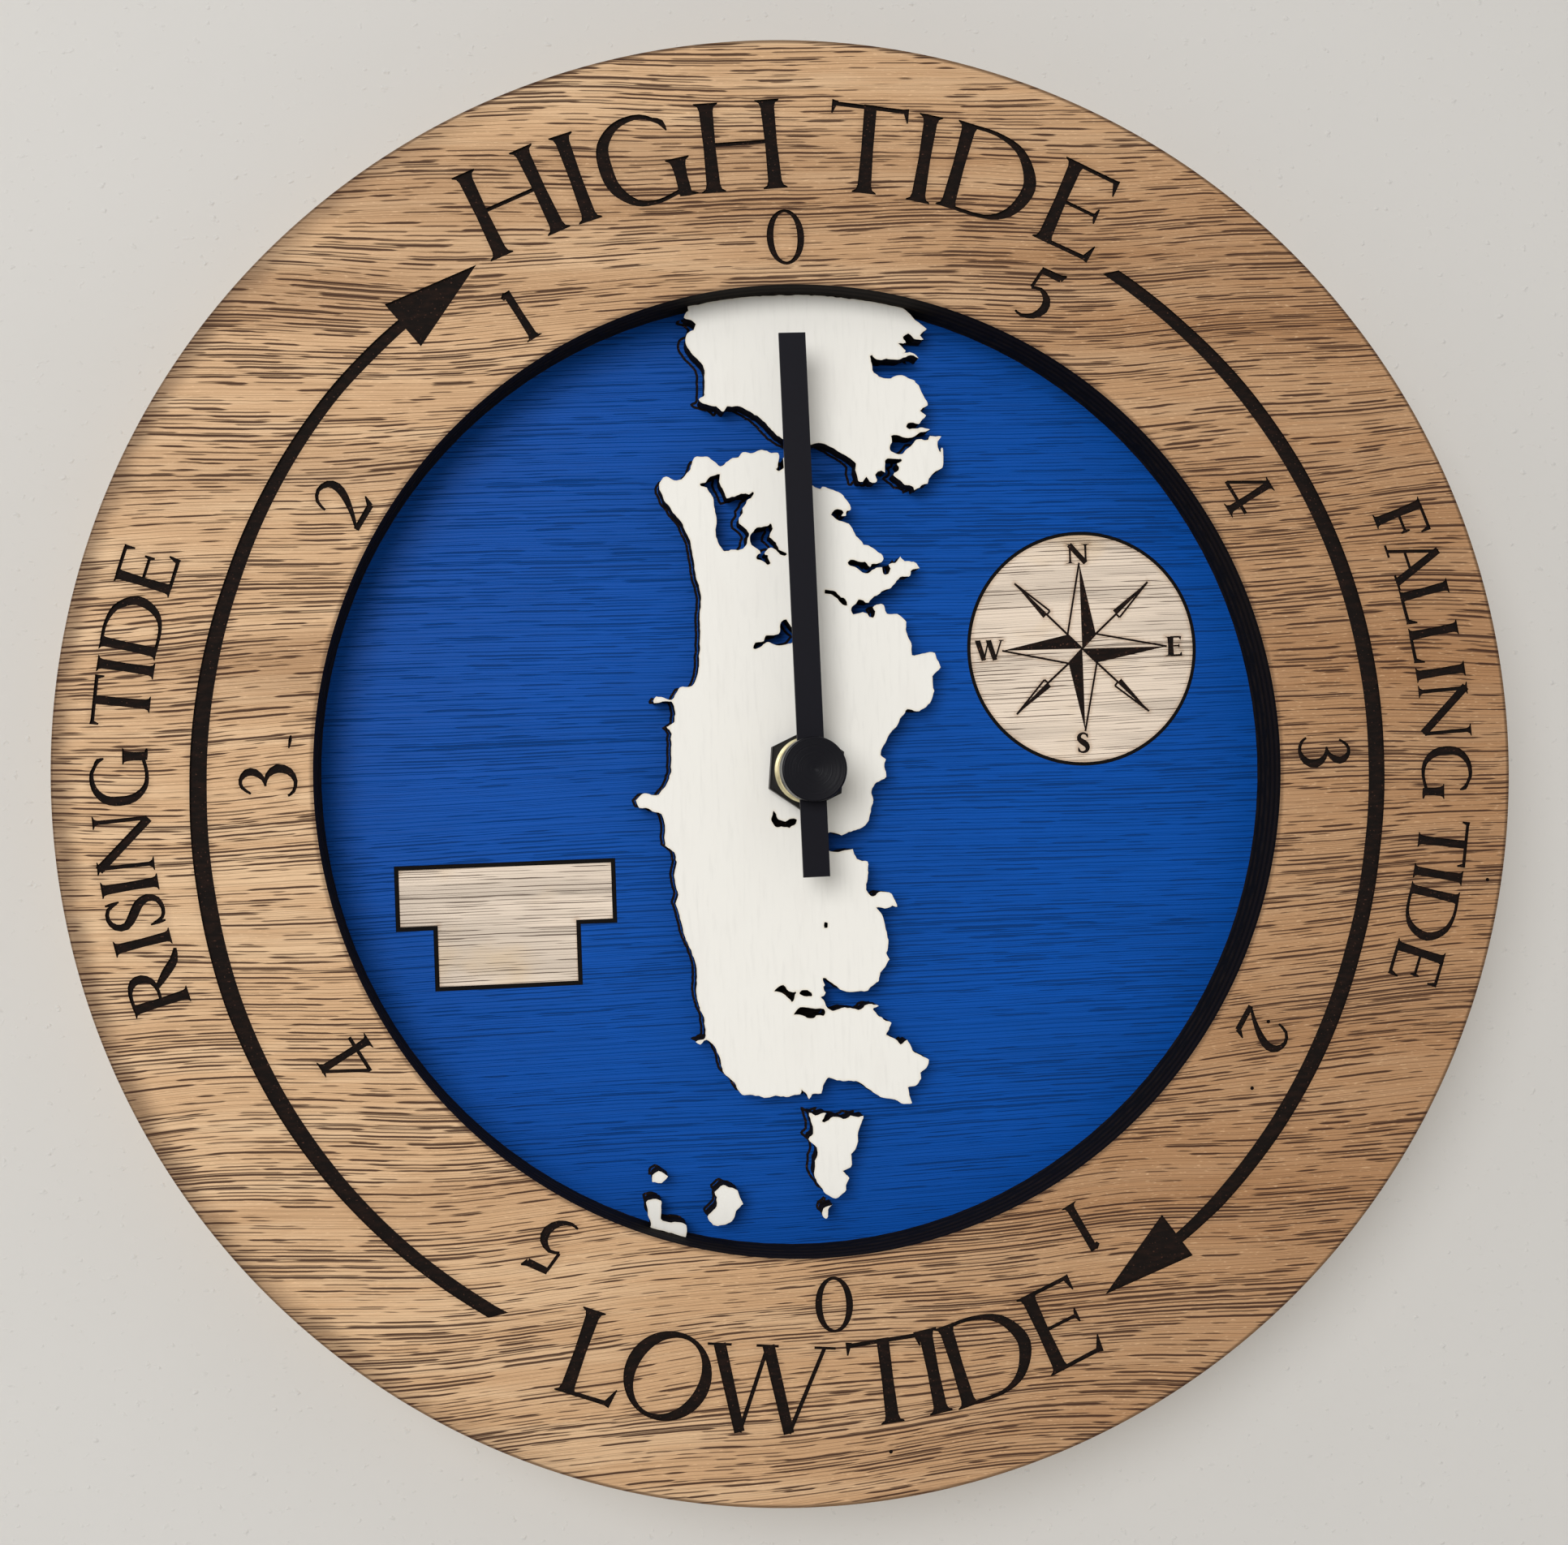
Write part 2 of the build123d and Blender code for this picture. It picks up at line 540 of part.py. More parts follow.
# Hand with its bush and cap
with BuildPart() as tide_hand:
    with BuildSketch(at(hand_back)):
        with Locations(Rotation(0, 0, hand_lean)):
            with Locations((0, (hand_reach - hand_tail) / 2)):
                Rectangle(hand_width, hand_reach + hand_tail)
        Circle(hand_bush_head / 2)
        Circle(hand_bush_diameter / 2, mode=Mode.SUBTRACT)
    extrude(amount=hand_thickness)

bush_head_front = hand_front + hand_bush_head_thickness
hand_bush_back = bush_front + hub_gap
with BuildPart() as hand_bush:
    disc(centre_place, hand_bush_back, hand_front, hand_bush_diameter)
    disc(centre_place, hand_front, bush_head_front, hand_bush_head)
    disc(centre_place, hand_bush_back, bush_head_front, pipe_diameter, Mode.SUBTRACT)

cap_rim = cap_front - cap_dish
cap_inside = bush_head_front + pipe_clearance
with BuildPart() as hand_cap:
    turned([(0, cap_front - cap_dish), (cap_diameter / 2 - cap_wall, cap_front),
            (cap_diameter / 2, cap_rim - cap_dish), (cap_diameter / 2, hand_front),
            (cap_diameter / 2 - cap_wall, hand_front), (cap_diameter / 2 - cap_wall, cap_inside),
            (pipe_bore / 2, cap_inside), (pipe_bore / 2, hand_back), (0, hand_back)])

# Last wheel of the movement, whose pipe carries the hand
with BuildPart() as tide_wheel:
    wheel(centre_place, tide_back, tide_front, tide_teeth, tide_module, minute_direction)
    disc(centre_place, tide_back, bush_head_front, pipe_diameter)
    disc(centre_place, tide_back, bush_head_front, pipe_bore, Mode.SUBTRACT)

# Idler between the cannon pinion and the tide wheel
back_to_centre = minute_direction + 180
with BuildPart() as minute_wheel:
    disc(minute_place, train_plate_back + pivot_clearance, case_inside - pivot_clearance,
         arbor_diameter)
    wheel(minute_place, motion_back, motion_front, minute_teeth, motion_module, back_to_centre)
    wheel(minute_place, tide_back, tide_front, minute_pinion_teeth, tide_module, back_to_centre,
          gap=True)
    disc(minute_place, motion_front, tide_back, arbor_diameter + 2 * hub_wall)

# Arbor with the cannon pinion, and the knob on its back end
knob_front = knob_recess + knob_thickness
with BuildPart() as set_arbor:
    disc(centre_place, knob_front - knob_grip, tide_front, set_arbor_diameter)
    wheel(centre_place, motion_back, motion_front, cannon_teeth, motion_module, minute_direction,
          gap=True)

with BuildPart() as set_knob:
    disc(centre_place, knob_recess, knob_front, knob_diameter)
    knob_edge = set_knob.edges().filter_by(GeomType.CIRCLE)
    chamfer(knob_edge, length=knob_thickness / 8)
    with BuildSketch(at(knob_recess)):
        with PolarLocations(knob_diameter / 2, knob_grooves):
            Circle(knob_thickness / 6)
    extrude(amount=knob_thickness, mode=Mode.SUBTRACT)
    disc(centre_place, knob_front - knob_grip, knob_front, set_arbor_diameter, Mode.SUBTRACT)

# Wheels between the motor and the set arbor
with BuildPart() as centre_wheel:
    wheel(centre_place, centre_back, centre_front, centre_teeth, centre_module, third_direction)
    disc(centre_place, third_front + plate_gap, centre_front,
         set_arbor_diameter + 2 * pivot_clearance + 2 * hub_wall)
    disc(centre_place, third_front + plate_gap, centre_front,
         set_arbor_diameter + 2 * pivot_clearance, Mode.SUBTRACT)

with BuildPart() as third_wheel:
    disc(third_place, pivot_back, pivot_front, arbor_diameter)
    wheel(third_place, third_back, third_front, third_teeth, train_module, second_direction)
    wheel(third_place, centre_back, centre_front, pinion_teeth, centre_module,
          third_direction + 180, gap=True)

with BuildPart() as second_wheel:
    disc(second_place, pivot_back, pivot_front, arbor_diameter)
    wheel(second_place, second_back, second_front, second_teeth, train_module, rotor_direction)
    wheel(second_place, third_back, third_front, pinion_teeth, train_module,
          second_direction + 180, gap=True)

magnet_back = (stator_back + stator_front - magnet_thickness) / 2
with BuildPart() as rotor:
    disc(rotor_place, pivot_back, pivot_front, arbor_diameter)
    wheel(rotor_place, second_back, second_front, pinion_teeth, train_module,
          rotor_direction + 180, gap=True)
    disc(rotor_place, magnet_back, magnet_back + magnet_thickness, magnet_diameter)

# Motor iron and coil
leg_top = coil_place[1] + core_width / 2
with BuildPart() as stator_plate:
    slab((left_leg[0], rotor_place[1] - stator_half), (right_leg[0], rotor_place[1] + stator_half),
         stator_back, stator_front)
    for leg in (left_leg, right_leg):
        slab((leg[0] - stator_leg / 2, rotor_place[1] - stator_half),
             (leg[0] + stator_leg / 2, leg_top), stator_back, stator_front)
        disc(leg, stator_back, stator_front, screw_diameter, Mode.SUBTRACT)
    disc(rotor_place, stator_back, stator_front, rotor_hole_diameter, Mode.SUBTRACT)
    disc(second_place, stator_back, stator_front, arbor_diameter + 2 * hub_wall, Mode.SUBTRACT)

core_left = left_leg[0] - stator_leg / 2
core_right = right_leg[0] + stator_leg / 2
with BuildPart() as coil_core:
    slab((core_left, coil_place[1] - core_width / 2), (core_right, leg_top), core_back,
         stator_back)

bobbin_place = ((left_leg[0] + right_leg[0]) / 2, coil_place[1])


def coil_ring(middle, length, diameter, mode=Mode.ADD):
    """Add a disc round the coil's axis, centred along it, to the part being built."""
    axis_plane = Plane(origin=(middle - length / 2, -coil_height, bobbin_place[1]),
                       z_dir=(1, 0, 0))
    with BuildSketch(axis_plane) as profile:
        Circle(diameter / 2)
    extrude(profile.sketch, amount=length, mode=mode)


bobbin_tube_diameter = math.hypot(core_width, wheel_thickness) + 2 * core_clearance + plate_gap
with BuildPart() as coil_bobbin:
    coil_ring(bobbin_place[0], bobbin_length, bobbin_tube_diameter)
    for end in (-1, 1):
        coil_ring(bobbin_place[0] + end * (bobbin_length - bobbin_flange) / 2, bobbin_flange,
                  bobbin_diameter)
    with BuildSketch(Plane(origin=(bobbin_place[0] - bobbin_length / 2, -coil_height,
                                   bobbin_place[1]), x_dir=(0, 1, 0), z_dir=(1, 0, 0))):
        Rectangle(wheel_thickness + 2 * core_clearance, core_width + 2 * core_clearance)
    extrude(amount=bobbin_length, mode=Mode.SUBTRACT)

with BuildPart() as coil_winding:
    coil_ring(bobbin_place[0], bobbin_length - 2 * bobbin_flange, coil_diameter)
    coil_ring(bobbin_place[0], bobbin_length - 2 * bobbin_flange, bobbin_tube_diameter,
              Mode.SUBTRACT)

# Plate that holds the front pivots of the train, with a pad under each stator screw
plate_top = rotor_place[1] + post_diameter
plate_low = -lower_post_drop - post_diameter / 2
pivot_hole = arbor_diameter + 2 * pivot_clearance
with BuildPart() as train_plate:
    slab((plate_left, plate_low), (plate_right, plate_top), train_plate_back, train_plate_front)
    for leg in (left_leg, right_leg):
        disc(leg, stator_front, train_plate_back, post_diameter)
    for post in plate_posts:
        disc(post, stator_front, train_plate_front, screw_diameter, Mode.SUBTRACT)
    for place in (minute_place, third_place, second_place, rotor_place):
        disc(place, train_plate_back, train_plate_front, pivot_hole, Mode.SUBTRACT)
    disc(centre_place, train_plate_back, train_plate_front,
         set_arbor_diameter + 2 * pivot_clearance, Mode.SUBTRACT)

with BuildPart() as train_screws:
    for post in plate_posts:
        head_front = train_plate_back if post in lower_posts else stator_back
        disc(post, head_front - screw_head_thickness, head_front, screw_head_diameter)
        disc(post, head_front, train_plate_front + screw_grip, screw_diameter)

# Case with its battery bay, posts and bearings
minute_boss_back = tide_front + plate_gap / 2
slot_depth = contact_thickness + cover_clearance
case_middle = (0, (case_top + case_low) / 2)
case_height = case_top - case_low
board_back = third_back
board_front = board_back + board_thickness
with BuildPart() as movement_housing:
    with BuildSketch(at(0, case_middle)):
        RectangleRounded(2 * case_half, case_height + 2 * case_wall, case_corner)
    extrude(amount=movement_depth)
    with BuildSketch(at(0, case_middle)):
        RectangleRounded(2 * case_inner, case_height, case_corner - case_wall)
    extrude(amount=case_inside, mode=Mode.SUBTRACT)
    slab((-case_inner, -bay_top), (case_inner, -bay_distance), 0, case_inside)
    for side in (-1, 1):
        slab((side * case_inner, -bay_top), (side * (case_inner - slot_depth), -bay_distance),
             0, case_inside, Mode.SUBTRACT)
    for post in plate_posts:
        disc(post, train_plate_front, case_inside, post_diameter)
        disc(post, train_plate_front, train_plate_front + screw_grip, screw_diameter,
             Mode.SUBTRACT)
    for post in board_posts:
        disc(post, board_front, case_inside, post_diameter)
    disc(minute_place, minute_boss_back, case_inside, boss_diameter)
    disc(minute_place, minute_boss_back, case_inside, pivot_hole, Mode.SUBTRACT)
    disc(centre_place, case_inside, movement_depth, bush_flange_diameter, Mode.SUBTRACT)

# Cover over the wheels, with a bearing for each and a well for the knob
cover_half = case_inner - cover_clearance
cover_top = case_top - cover_clearance
cover_low = -bay_distance + cover_clearance
well_radius = knob_diameter / 2 + knob_clearance
well_front = knob_front + plate_gap + well_floor
with BuildPart() as rear_cover:
    with BuildSketch(at(0, (0, (cover_top + cover_low) / 2))):
        RectangleRounded(2 * cover_half, cover_top - cover_low, case_corner - case_wall)
    extrude(amount=cover_thickness)
    disc(centre_place, 0, well_front, 2 * (well_radius + well_wall))
    for place in (third_place, second_place, rotor_place):
        disc(place, 0, cover_boss_front, boss_diameter)
    disc(centre_place, 0, well_front - well_floor, 2 * well_radius, Mode.SUBTRACT)
    disc(centre_place, 0, well_front, set_arbor_diameter + 2 * pivot_clearance, Mode.SUBTRACT)
    for place in (third_place, second_place, rotor_place):
        disc(place, cover_boss_front - boss_bearing, cover_boss_front, pivot_hole, Mode.SUBTRACT)

# Battery and the leaf contacts at its ends
cell_left = -cell_length / 2
with BuildPart() as battery_cell:
    with BuildSketch(Plane(origin=(cell_left + cell_nub_length, -cell_height, -cell_drop),
                           z_dir=(1, 0, 0))):
        Circle(cell_diameter / 2)
    extrude(amount=cell_length - cell_nub_length)
    can_ends = battery_cell.edges().filter_by(GeomType.CIRCLE)
    chamfer(can_ends, length=cell_nub_length / 2)
    with BuildSketch(Plane(origin=(cell_left, -cell_height, -cell_drop), z_dir=(1, 0, 0))):
        Circle(cell_nub_diameter / 2)
    extrude(amount=2 * cell_nub_length)

leaf_back = cell_height - contact_width / 2
leaf_front = cell_height + contact_width / 2
leaf_low = -cell_drop - contact_width / 2
bow_half = contact_width / 3


def leaf(side, top):
    """Add a contact leaf along a case wall, with the bow that presses on the cell's end."""
    slab((side * case_inner, leaf_low), (side * (case_inner - contact_thickness), top),
         leaf_back, leaf_front)
    foot = side * (case_inner - contact_thickness)
    with BuildSketch(at(cell_height - bow_half)) as bow:
        with BuildLine():
            ThreePointArc((foot, -cell_drop - bow_half), (side * cell_length / 2, -cell_drop),
                          (foot, -cell_drop + bow_half))
            Line((foot, -cell_drop + bow_half), (foot, -cell_drop - bow_half))
        make_face()
    extrude(bow.sketch, amount=2 * bow_half)


board_middle = board_low + board_length / 2
with BuildPart() as positive_contact:
    leaf(-1, board_middle)

strip_back = board_back - board_thickness
strip_front = board_front + board_thickness
with BuildPart() as negative_contact:
    leaf(1, board_low)
    slab((case_inner, -bay_distance), (board_left + board_width / 2, board_low),
         strip_back, strip_front)

# Circuit board with its chip and crystal
with BuildPart() as circuit_board:
    slab((board_left, board_low), (board_left + board_width, board_low + board_length),
         board_back, board_front)

chip_place = (board_left + board_width / 2, board_low + board_length * chip_height_share)
with BuildPart() as clock_chip:
    slab((chip_place[0] - chip_size / 2, chip_place[1] - chip_size / 2),
         (chip_place[0] + chip_size / 2, chip_place[1] + chip_size / 2),
         board_back - chip_thickness, board_back)

crystal_place = (board_left + board_width / 2, board_low + board_length * crystal_height_share)
with BuildPart() as crystal_can:
    with BuildSketch(Plane(origin=(crystal_place[0] - crystal_length / 2,
                                   -board_back + crystal_diameter / 2, crystal_place[1]),
                           z_dir=(1, 0, 0))):
        Circle(crystal_diameter / 2)
    extrude(amount=crystal_length)

# Hanger plate: clamped behind the dial, stepped back over the case, with the wall hole at its top
hanger_low = -washer_diameter / 2
hanger_bend = case_top + case_wall + hanger_case_gap
hanger_tab_front = hanger_front - hanger_step
hanger_hole_place = (0, hanger_bend + hanger_rise / 2)
with BuildPart() as hanger_plate:
    slab((-hanger_width / 2, hanger_low), (hanger_width / 2, hanger_bend + hanger_thickness),
         movement_depth, hanger_front)
    slab((-hanger_width / 2, hanger_bend), (hanger_width / 2, hanger_bend + hanger_thickness),
         hanger_tab_front - hanger_thickness, hanger_front)
    slab((-hanger_width / 2, hanger_bend), (hanger_width / 2, hanger_bend + hanger_rise),
         hanger_tab_front - hanger_thickness, hanger_tab_front)
    disc(centre_place, movement_depth, hanger_front, bush_diameter + 2 * bush_clearance,
         Mode.SUBTRACT)
    disc(hanger_hole_place, hanger_tab_front - hanger_thickness, hanger_tab_front,
         hanger_hole_diameter, Mode.SUBTRACT)

pieces = {
    "front_ring": front_ring, "spacer_ring": spacer_ring, "dial_disc": dial_disc,
    "compass_disc": compass_disc, "name_plaque": name_plaque, "land_north": land_north,
    "land_main": land_main, "land_south": land_south, "small_islands": small_islands,
    "threaded_bush": threaded_bush, "rubber_washer": rubber_washer, "centre_nut": centre_nut,
    "brass_collar": brass_collar, "tide_hand": tide_hand, "hand_bush": hand_bush,
    "hand_cap": hand_cap, "tide_wheel": tide_wheel, "minute_wheel": minute_wheel,
    "set_arbor": set_arbor, "set_knob": set_knob, "centre_wheel": centre_wheel,
    "third_wheel": third_wheel, "second_wheel": second_wheel, "rotor": rotor,
    "stator_plate": stator_plate, "coil_core": coil_core, "coil_bobbin": coil_bobbin,
    "coil_winding": coil_winding, "train_plate": train_plate, "train_screws": train_screws,
    "movement_housing": movement_housing, "rear_cover": rear_cover, "battery_cell": battery_cell,
    "positive_contact": positive_contact, "negative_contact": negative_contact,
    "circuit_board": circuit_board, "clock_chip": clock_chip, "crystal_can": crystal_can,
    "hanger_plate": hanger_plate}
for name, piece in pieces.items():
    piece.part.label = name
    export_step(piece.part, f"parts/{name}.step")
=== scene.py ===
"""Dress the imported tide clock: engraved oak ring, painted sea and land, inlays, hub and movement."""
import math

import bpy
import numpy as np
from bpy.props import FloatProperty, FloatVectorProperty, PointerProperty
from bpy.types import Operator, Panel, PropertyGroup
from mathutils import Matrix, Vector, noise
from mathutils.geometry import delaunay_2d_cdt
from mathutils.kdtree import KDTree


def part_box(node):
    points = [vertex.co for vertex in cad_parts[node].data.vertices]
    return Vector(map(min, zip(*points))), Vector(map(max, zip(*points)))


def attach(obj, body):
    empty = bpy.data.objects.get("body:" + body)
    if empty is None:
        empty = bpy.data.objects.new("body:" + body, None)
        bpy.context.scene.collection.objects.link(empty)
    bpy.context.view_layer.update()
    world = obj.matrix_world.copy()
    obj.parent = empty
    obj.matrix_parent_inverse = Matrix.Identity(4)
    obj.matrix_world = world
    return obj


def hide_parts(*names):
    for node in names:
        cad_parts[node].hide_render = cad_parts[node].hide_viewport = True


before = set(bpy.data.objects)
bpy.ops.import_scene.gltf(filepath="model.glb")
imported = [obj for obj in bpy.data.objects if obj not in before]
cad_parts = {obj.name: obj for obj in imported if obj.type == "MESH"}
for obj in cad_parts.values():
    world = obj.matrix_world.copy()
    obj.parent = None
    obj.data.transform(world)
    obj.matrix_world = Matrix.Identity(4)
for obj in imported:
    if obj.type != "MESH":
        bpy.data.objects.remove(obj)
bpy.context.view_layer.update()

bl_info = {
    "name": "Tide Clock Dresser",
    "version": (1, 0, 0),
    "blender": (4, 5, 0),
    "location": "3D View > Sidebar > Tide Clock",
    "description": "Engraves, paints and finishes the tide clock around its solids",
    "category": "Object",
}

MM = 0.001
DIAL_CENTRE = (0.0, 0.0)

# Sizes in mm and square mm
HUB_HOLE_RADIUS = 8
SMALL_LAKE_AREA = 12.0
GUIDE_DEPTH = 0.2
GUIDE_LIMIT = 91.5
COAST_LIMIT = 92.9
POCKET_GAP = 0.02
LAKE_GAP = 0.1
PLY_PAIR = 2.6
WIRE_PITCH = 0.12
COAST_STEP = 0.6
STRAY_DOT_RADIUS = 0.38

# The mark of a loop that is a board's outline, while other loops are marked with their level
OUTLINE = -1

# Places in a board's list of finishes
FRONT, CUT, WALL, BACK = range(4)


# Sizes and colours

def colour(name, description, default):
    return FloatVectorProperty(name=name, description=description, default=default,
                               subtype="COLOR_GAMMA", size=3, min=0, max=1)


def length(name, description, default):
    return FloatProperty(name=name, description=description, default=default * MM,
                         subtype="DISTANCE", unit="LENGTH", min=0)


class TideClockSizes(PropertyGroup):
    """Sizes of the carving and the grain."""
    carving_depth: length("Carving depth", "Depth of the letters, digits and arrows", 0.55)
    inlay_depth: length("Inlay burn depth", "Depth of the burnt lines on the inlays", 0.2)
    guide_width: length("Guide line width", "Width of the burnt line beside the land", 0.5)
    border_width: length("Inlay border width", "Width of the burnt border of an inlay", 0.85)
    shaft_width: length("Arrow shaft width", "Width of the two long arrows", 3.08)
    title_height: length("Title height", "Height of the high tide letters", 17.2)
    caption_height: length("Caption height", "Height of the rising tide letters", 10.3)
    digit_height: length("Digit height", "Height of the hour digits", 10.3)
    pore_length: length("Pore length", "Length of a pore in the oak", 14.0)
    pore_spacing: length("Pore spacing", "Distance between rows of pores", 0.72)
    key_watts: FloatProperty(name="Key lamp", description="Power of the large lamp",
                             default=9.0, min=0)


class TideClockColours(PropertyGroup):
    """Colours of the woods and paints."""
    oak: colour("Oak", "Main colour of the ring's veneer", (0.815, 0.66, 0.50))
    oak_light: colour("Light oak", "Lighter figure in the veneer", (0.87, 0.73, 0.575))
    oak_dark: colour("Dark oak", "Darker bands in the veneer", (0.62, 0.46, 0.31))
    pore: colour("Pores", "Open pores of the oak", (0.22, 0.115, 0.065))
    char: colour("Charred wood", "Floor of the carving", (0.085, 0.05, 0.035))
    pale_oak: colour("Pale oak", "Veneer of the two inlays", (0.91, 0.84, 0.765))
    bare_ply: colour("Bare plywood", "Unpainted back of the boards", (0.80, 0.68, 0.50))
    sea: colour("Sea", "Blue paint of the dial", (0.015, 0.275, 0.595))
    land: colour("Land", "Off-white paint of the land", (0.915, 0.905, 0.88))
    lacquer: colour("Black lacquer", "Hand and cap", (0.06, 0.056, 0.088))
    brass: colour("Brass", "Collar and bushes", (0.90, 0.86, 0.70))
    plaster: colour("Plaster", "Wall behind the clock", (0.825, 0.815, 0.80))


def sizes():
    return bpy.context.scene.tide_clock_sizes


def colours():
    return bpy.context.scene.tide_clock_colours


# Shader bench

def linear(shade, factor=1.0):
    """A colour as seen on a screen, times a factor, as the linear colour that a socket takes."""
    toned = [c * factor for c in shade]
    return [c / 12.92 if c <= 0.04045 else ((c + 0.055) / 1.055) ** 2.4 for c in toned] + [1.0]


def both_ways(operation):
    """An operator of a Value and its reflected form."""
    def forward(self, other):
        return self.math(operation, self, other)

    def reflected(self, other):
        return self.math(operation, other, self)

    return forward, reflected


class Value:
    """A socket whose sums and products add Math nodes to its bench."""

    __add__, __radd__ = both_ways("ADD")
    __sub__, __rsub__ = both_ways("SUBTRACT")
    __mul__, __rmul__ = both_ways("MULTIPLY")
    __truediv__, __rtruediv__ = both_ways("DIVIDE")
    __pow__, __rpow__ = both_ways("POWER")

    def __init__(self, bench, socket):
        self.bench, self.socket = bench, socket

    def math(self, operation, *terms):
        return self.bench.add("ShaderNodeMath", {"operation": operation}, dict(enumerate(terms)))

    def __abs__(self):
        return self.math("ABSOLUTE", self)

    def larger(self, other):
        return self.math("MAXIMUM", self, other)

    def smaller(self, other):
        return self.math("MINIMUM", self, other)

    def floor(self):
        return self.math("FLOOR", self)

    def wave(self, pitch):
        """A sine, each wave of which has a length in mm."""
        return self.math("SINE", self * (math.tau / pitch))

    def ramp(self, low, high):
        """0 at low, 1 at high, with a soft start and end."""
        return self.bench.add("ShaderNodeMapRange", {"interpolation_type": "SMOOTHSTEP"},
                              {"Value": self, "From Min": low, "From Max": high})


class Bench:
    """The nodes of a new material or world."""

    def __init__(self, owner):
        owner.use_nodes = True
        self.tree = owner.node_tree
        self.tree.nodes.clear()

    def add(self, kind, settings=None, inputs=None, output=0):
        """Add a node: first its settings, then the values or links of its sockets."""
        node = self.tree.nodes.new(kind)
        for name, setting in (settings or {}).items():
            setattr(node, name, setting)
        for name, given in (inputs or {}).items():
            if isinstance(given, Value):
                self.tree.links.new(given.socket, node.inputs[name])
            else:
                node.inputs[name].default_value = given
        return Value(self, node.outputs[output])

    def also(self, value, output):
        """Another output of the node that made this value."""
        return Value(self, value.socket.node.outputs[output])

    def end(self, shader, kind="ShaderNodeOutputMaterial"):
        """Link the last shader to the output."""
        self.tree.links.new(shader.socket, self.tree.nodes.new(kind).inputs["Surface"])

    def place(self):
        """The place on the clock, as x, y and z in mm."""
        spot = self.add("ShaderNodeTexCoord", output="Object")
        return self.split(self.add("ShaderNodeVectorMath", {"operation": "SCALE"}, {0: spot, 3: 1 / MM}))

    def split(self, vector):
        first = self.add("ShaderNodeSeparateXYZ", inputs={0: vector})
        return first, self.also(first, 1), self.also(first, 2)

    def noise(self, x, y, z, detail=2.0, roughness=0.5):
        return self.add("ShaderNodeTexNoise", inputs={
            "Vector": self.add("ShaderNodeCombineXYZ", inputs={0: x, 1: y, 2: z}),
            "Scale": 1.0, "Detail": detail, "Roughness": roughness})

    def chance(self, seed):
        """A random number between 0 and 1 for each seed."""
        return self.add("ShaderNodeTexWhiteNoise", {"noise_dimensions": "1D"}, {"W": seed})

    def mix(self, base, *layers):
        """A base colour with (colour, share) layers mixed over it in turn."""
        for layer, share in layers:
            base = self.add("ShaderNodeMix", {"data_type": "RGBA"}, {0: share, 6: base, 7: layer}, 2)
        return base

    def mark(self, name):
        """A value stored on the mesh."""
        return self.add("ShaderNodeAttribute", {"attribute_name": name}, output=2)

    def surface(self, base, rough, relief=None, specular=0.5, metallic=0.0):
        """A shader, whose relief is (height, depth in mm, strength)."""
        inputs = {"Base Color": base, "Roughness": rough,
                  "Specular IOR Level": specular, "Metallic": metallic}
        if relief:
            height, depth, strength = relief
            inputs["Normal"] = self.add("ShaderNodeBump", inputs={
                "Height": height, "Distance": depth * MM, "Strength": strength})
        return self.add("ShaderNodeBsdfPrincipled", inputs=inputs)


# Woods and paints

FINISHES = {}


def look(make):
    """List a finish, which makes its shader from a bench, the colours and the place in mm."""
    FINISHES[make.__name__] = make
    return make


def finish(name):
    """The material of a finish, made when it is first asked for."""
    material = bpy.data.materials.get(name)
    if material is None:
        material = bpy.data.materials.new(name)
        bench = Bench(material)
        bench.end(FINISHES[name](bench, colours(), *bench.place()))
    return material


def coat(looks):
    """Give each finish to its CAD nodes."""
    for name, nodes in looks.items():
        for node in nodes:
            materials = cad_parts[node].data.materials
            materials.clear()
            materials.append(finish(name))


def dashes(bench, x, z, lane_width, run, thick, cover, seed):
    """Thin dashes along x in lanes that each start anew: 1 in a dash and 0 between."""
    lane = z / lane_width
    row = lane.floor()
    chance = bench.chance(row + seed)
    off = abs(lane - row - 0.5 + (chance - 0.5) * 0.5)
    along = bench.noise(x / run + chance * 60, row * 3.31, seed, 1)
    half = (along + cover).ramp(0.50, 0.58) * (thick / lane_width / 2)
    return (half - off).ramp(-0.05 / lane_width, 0.05 / lane_width)


def open_grain(bench, x, z, seed=0.0, cover=0.0, fineness=1.0, wander=13.0):
    """Open pores of oak, closer together in some bands: 1 in a pore and 0 between."""
    size = sizes()
    run, spacing = size.pore_length / MM, size.pore_spacing / MM
    drift = (bench.noise(x / 95, seed, z / 45, 1) - 0.5) * wander - x * (wander * 0.002)
    shake = (bench.noise(x / 5, seed + 2, z / 4, 1) - 0.5) * 0.22
    across = z + drift + shake
    band = (bench.noise(x / 90, seed + 5, across / 8, 3, 0.6) - 0.5) * 0.75 + cover
    wide = dashes(bench, x, across, spacing * 1.45, run, 0.34 * fineness, band, seed + 8)
    fine = dashes(bench, x, across, spacing * 0.9, run * 0.7, 0.21 * fineness, band + 0.02, seed + 11)
    return wide.larger(fine * 0.85)


def from_middle(x, z):
    """How far a place is from the dial's middle."""
    return (x * x + z * z) ** 0.5


def plies(y):
    """The dark and light plies across a board's edge."""
    return y.wave(PLY_PAIR).ramp(-0.4, 0.4)


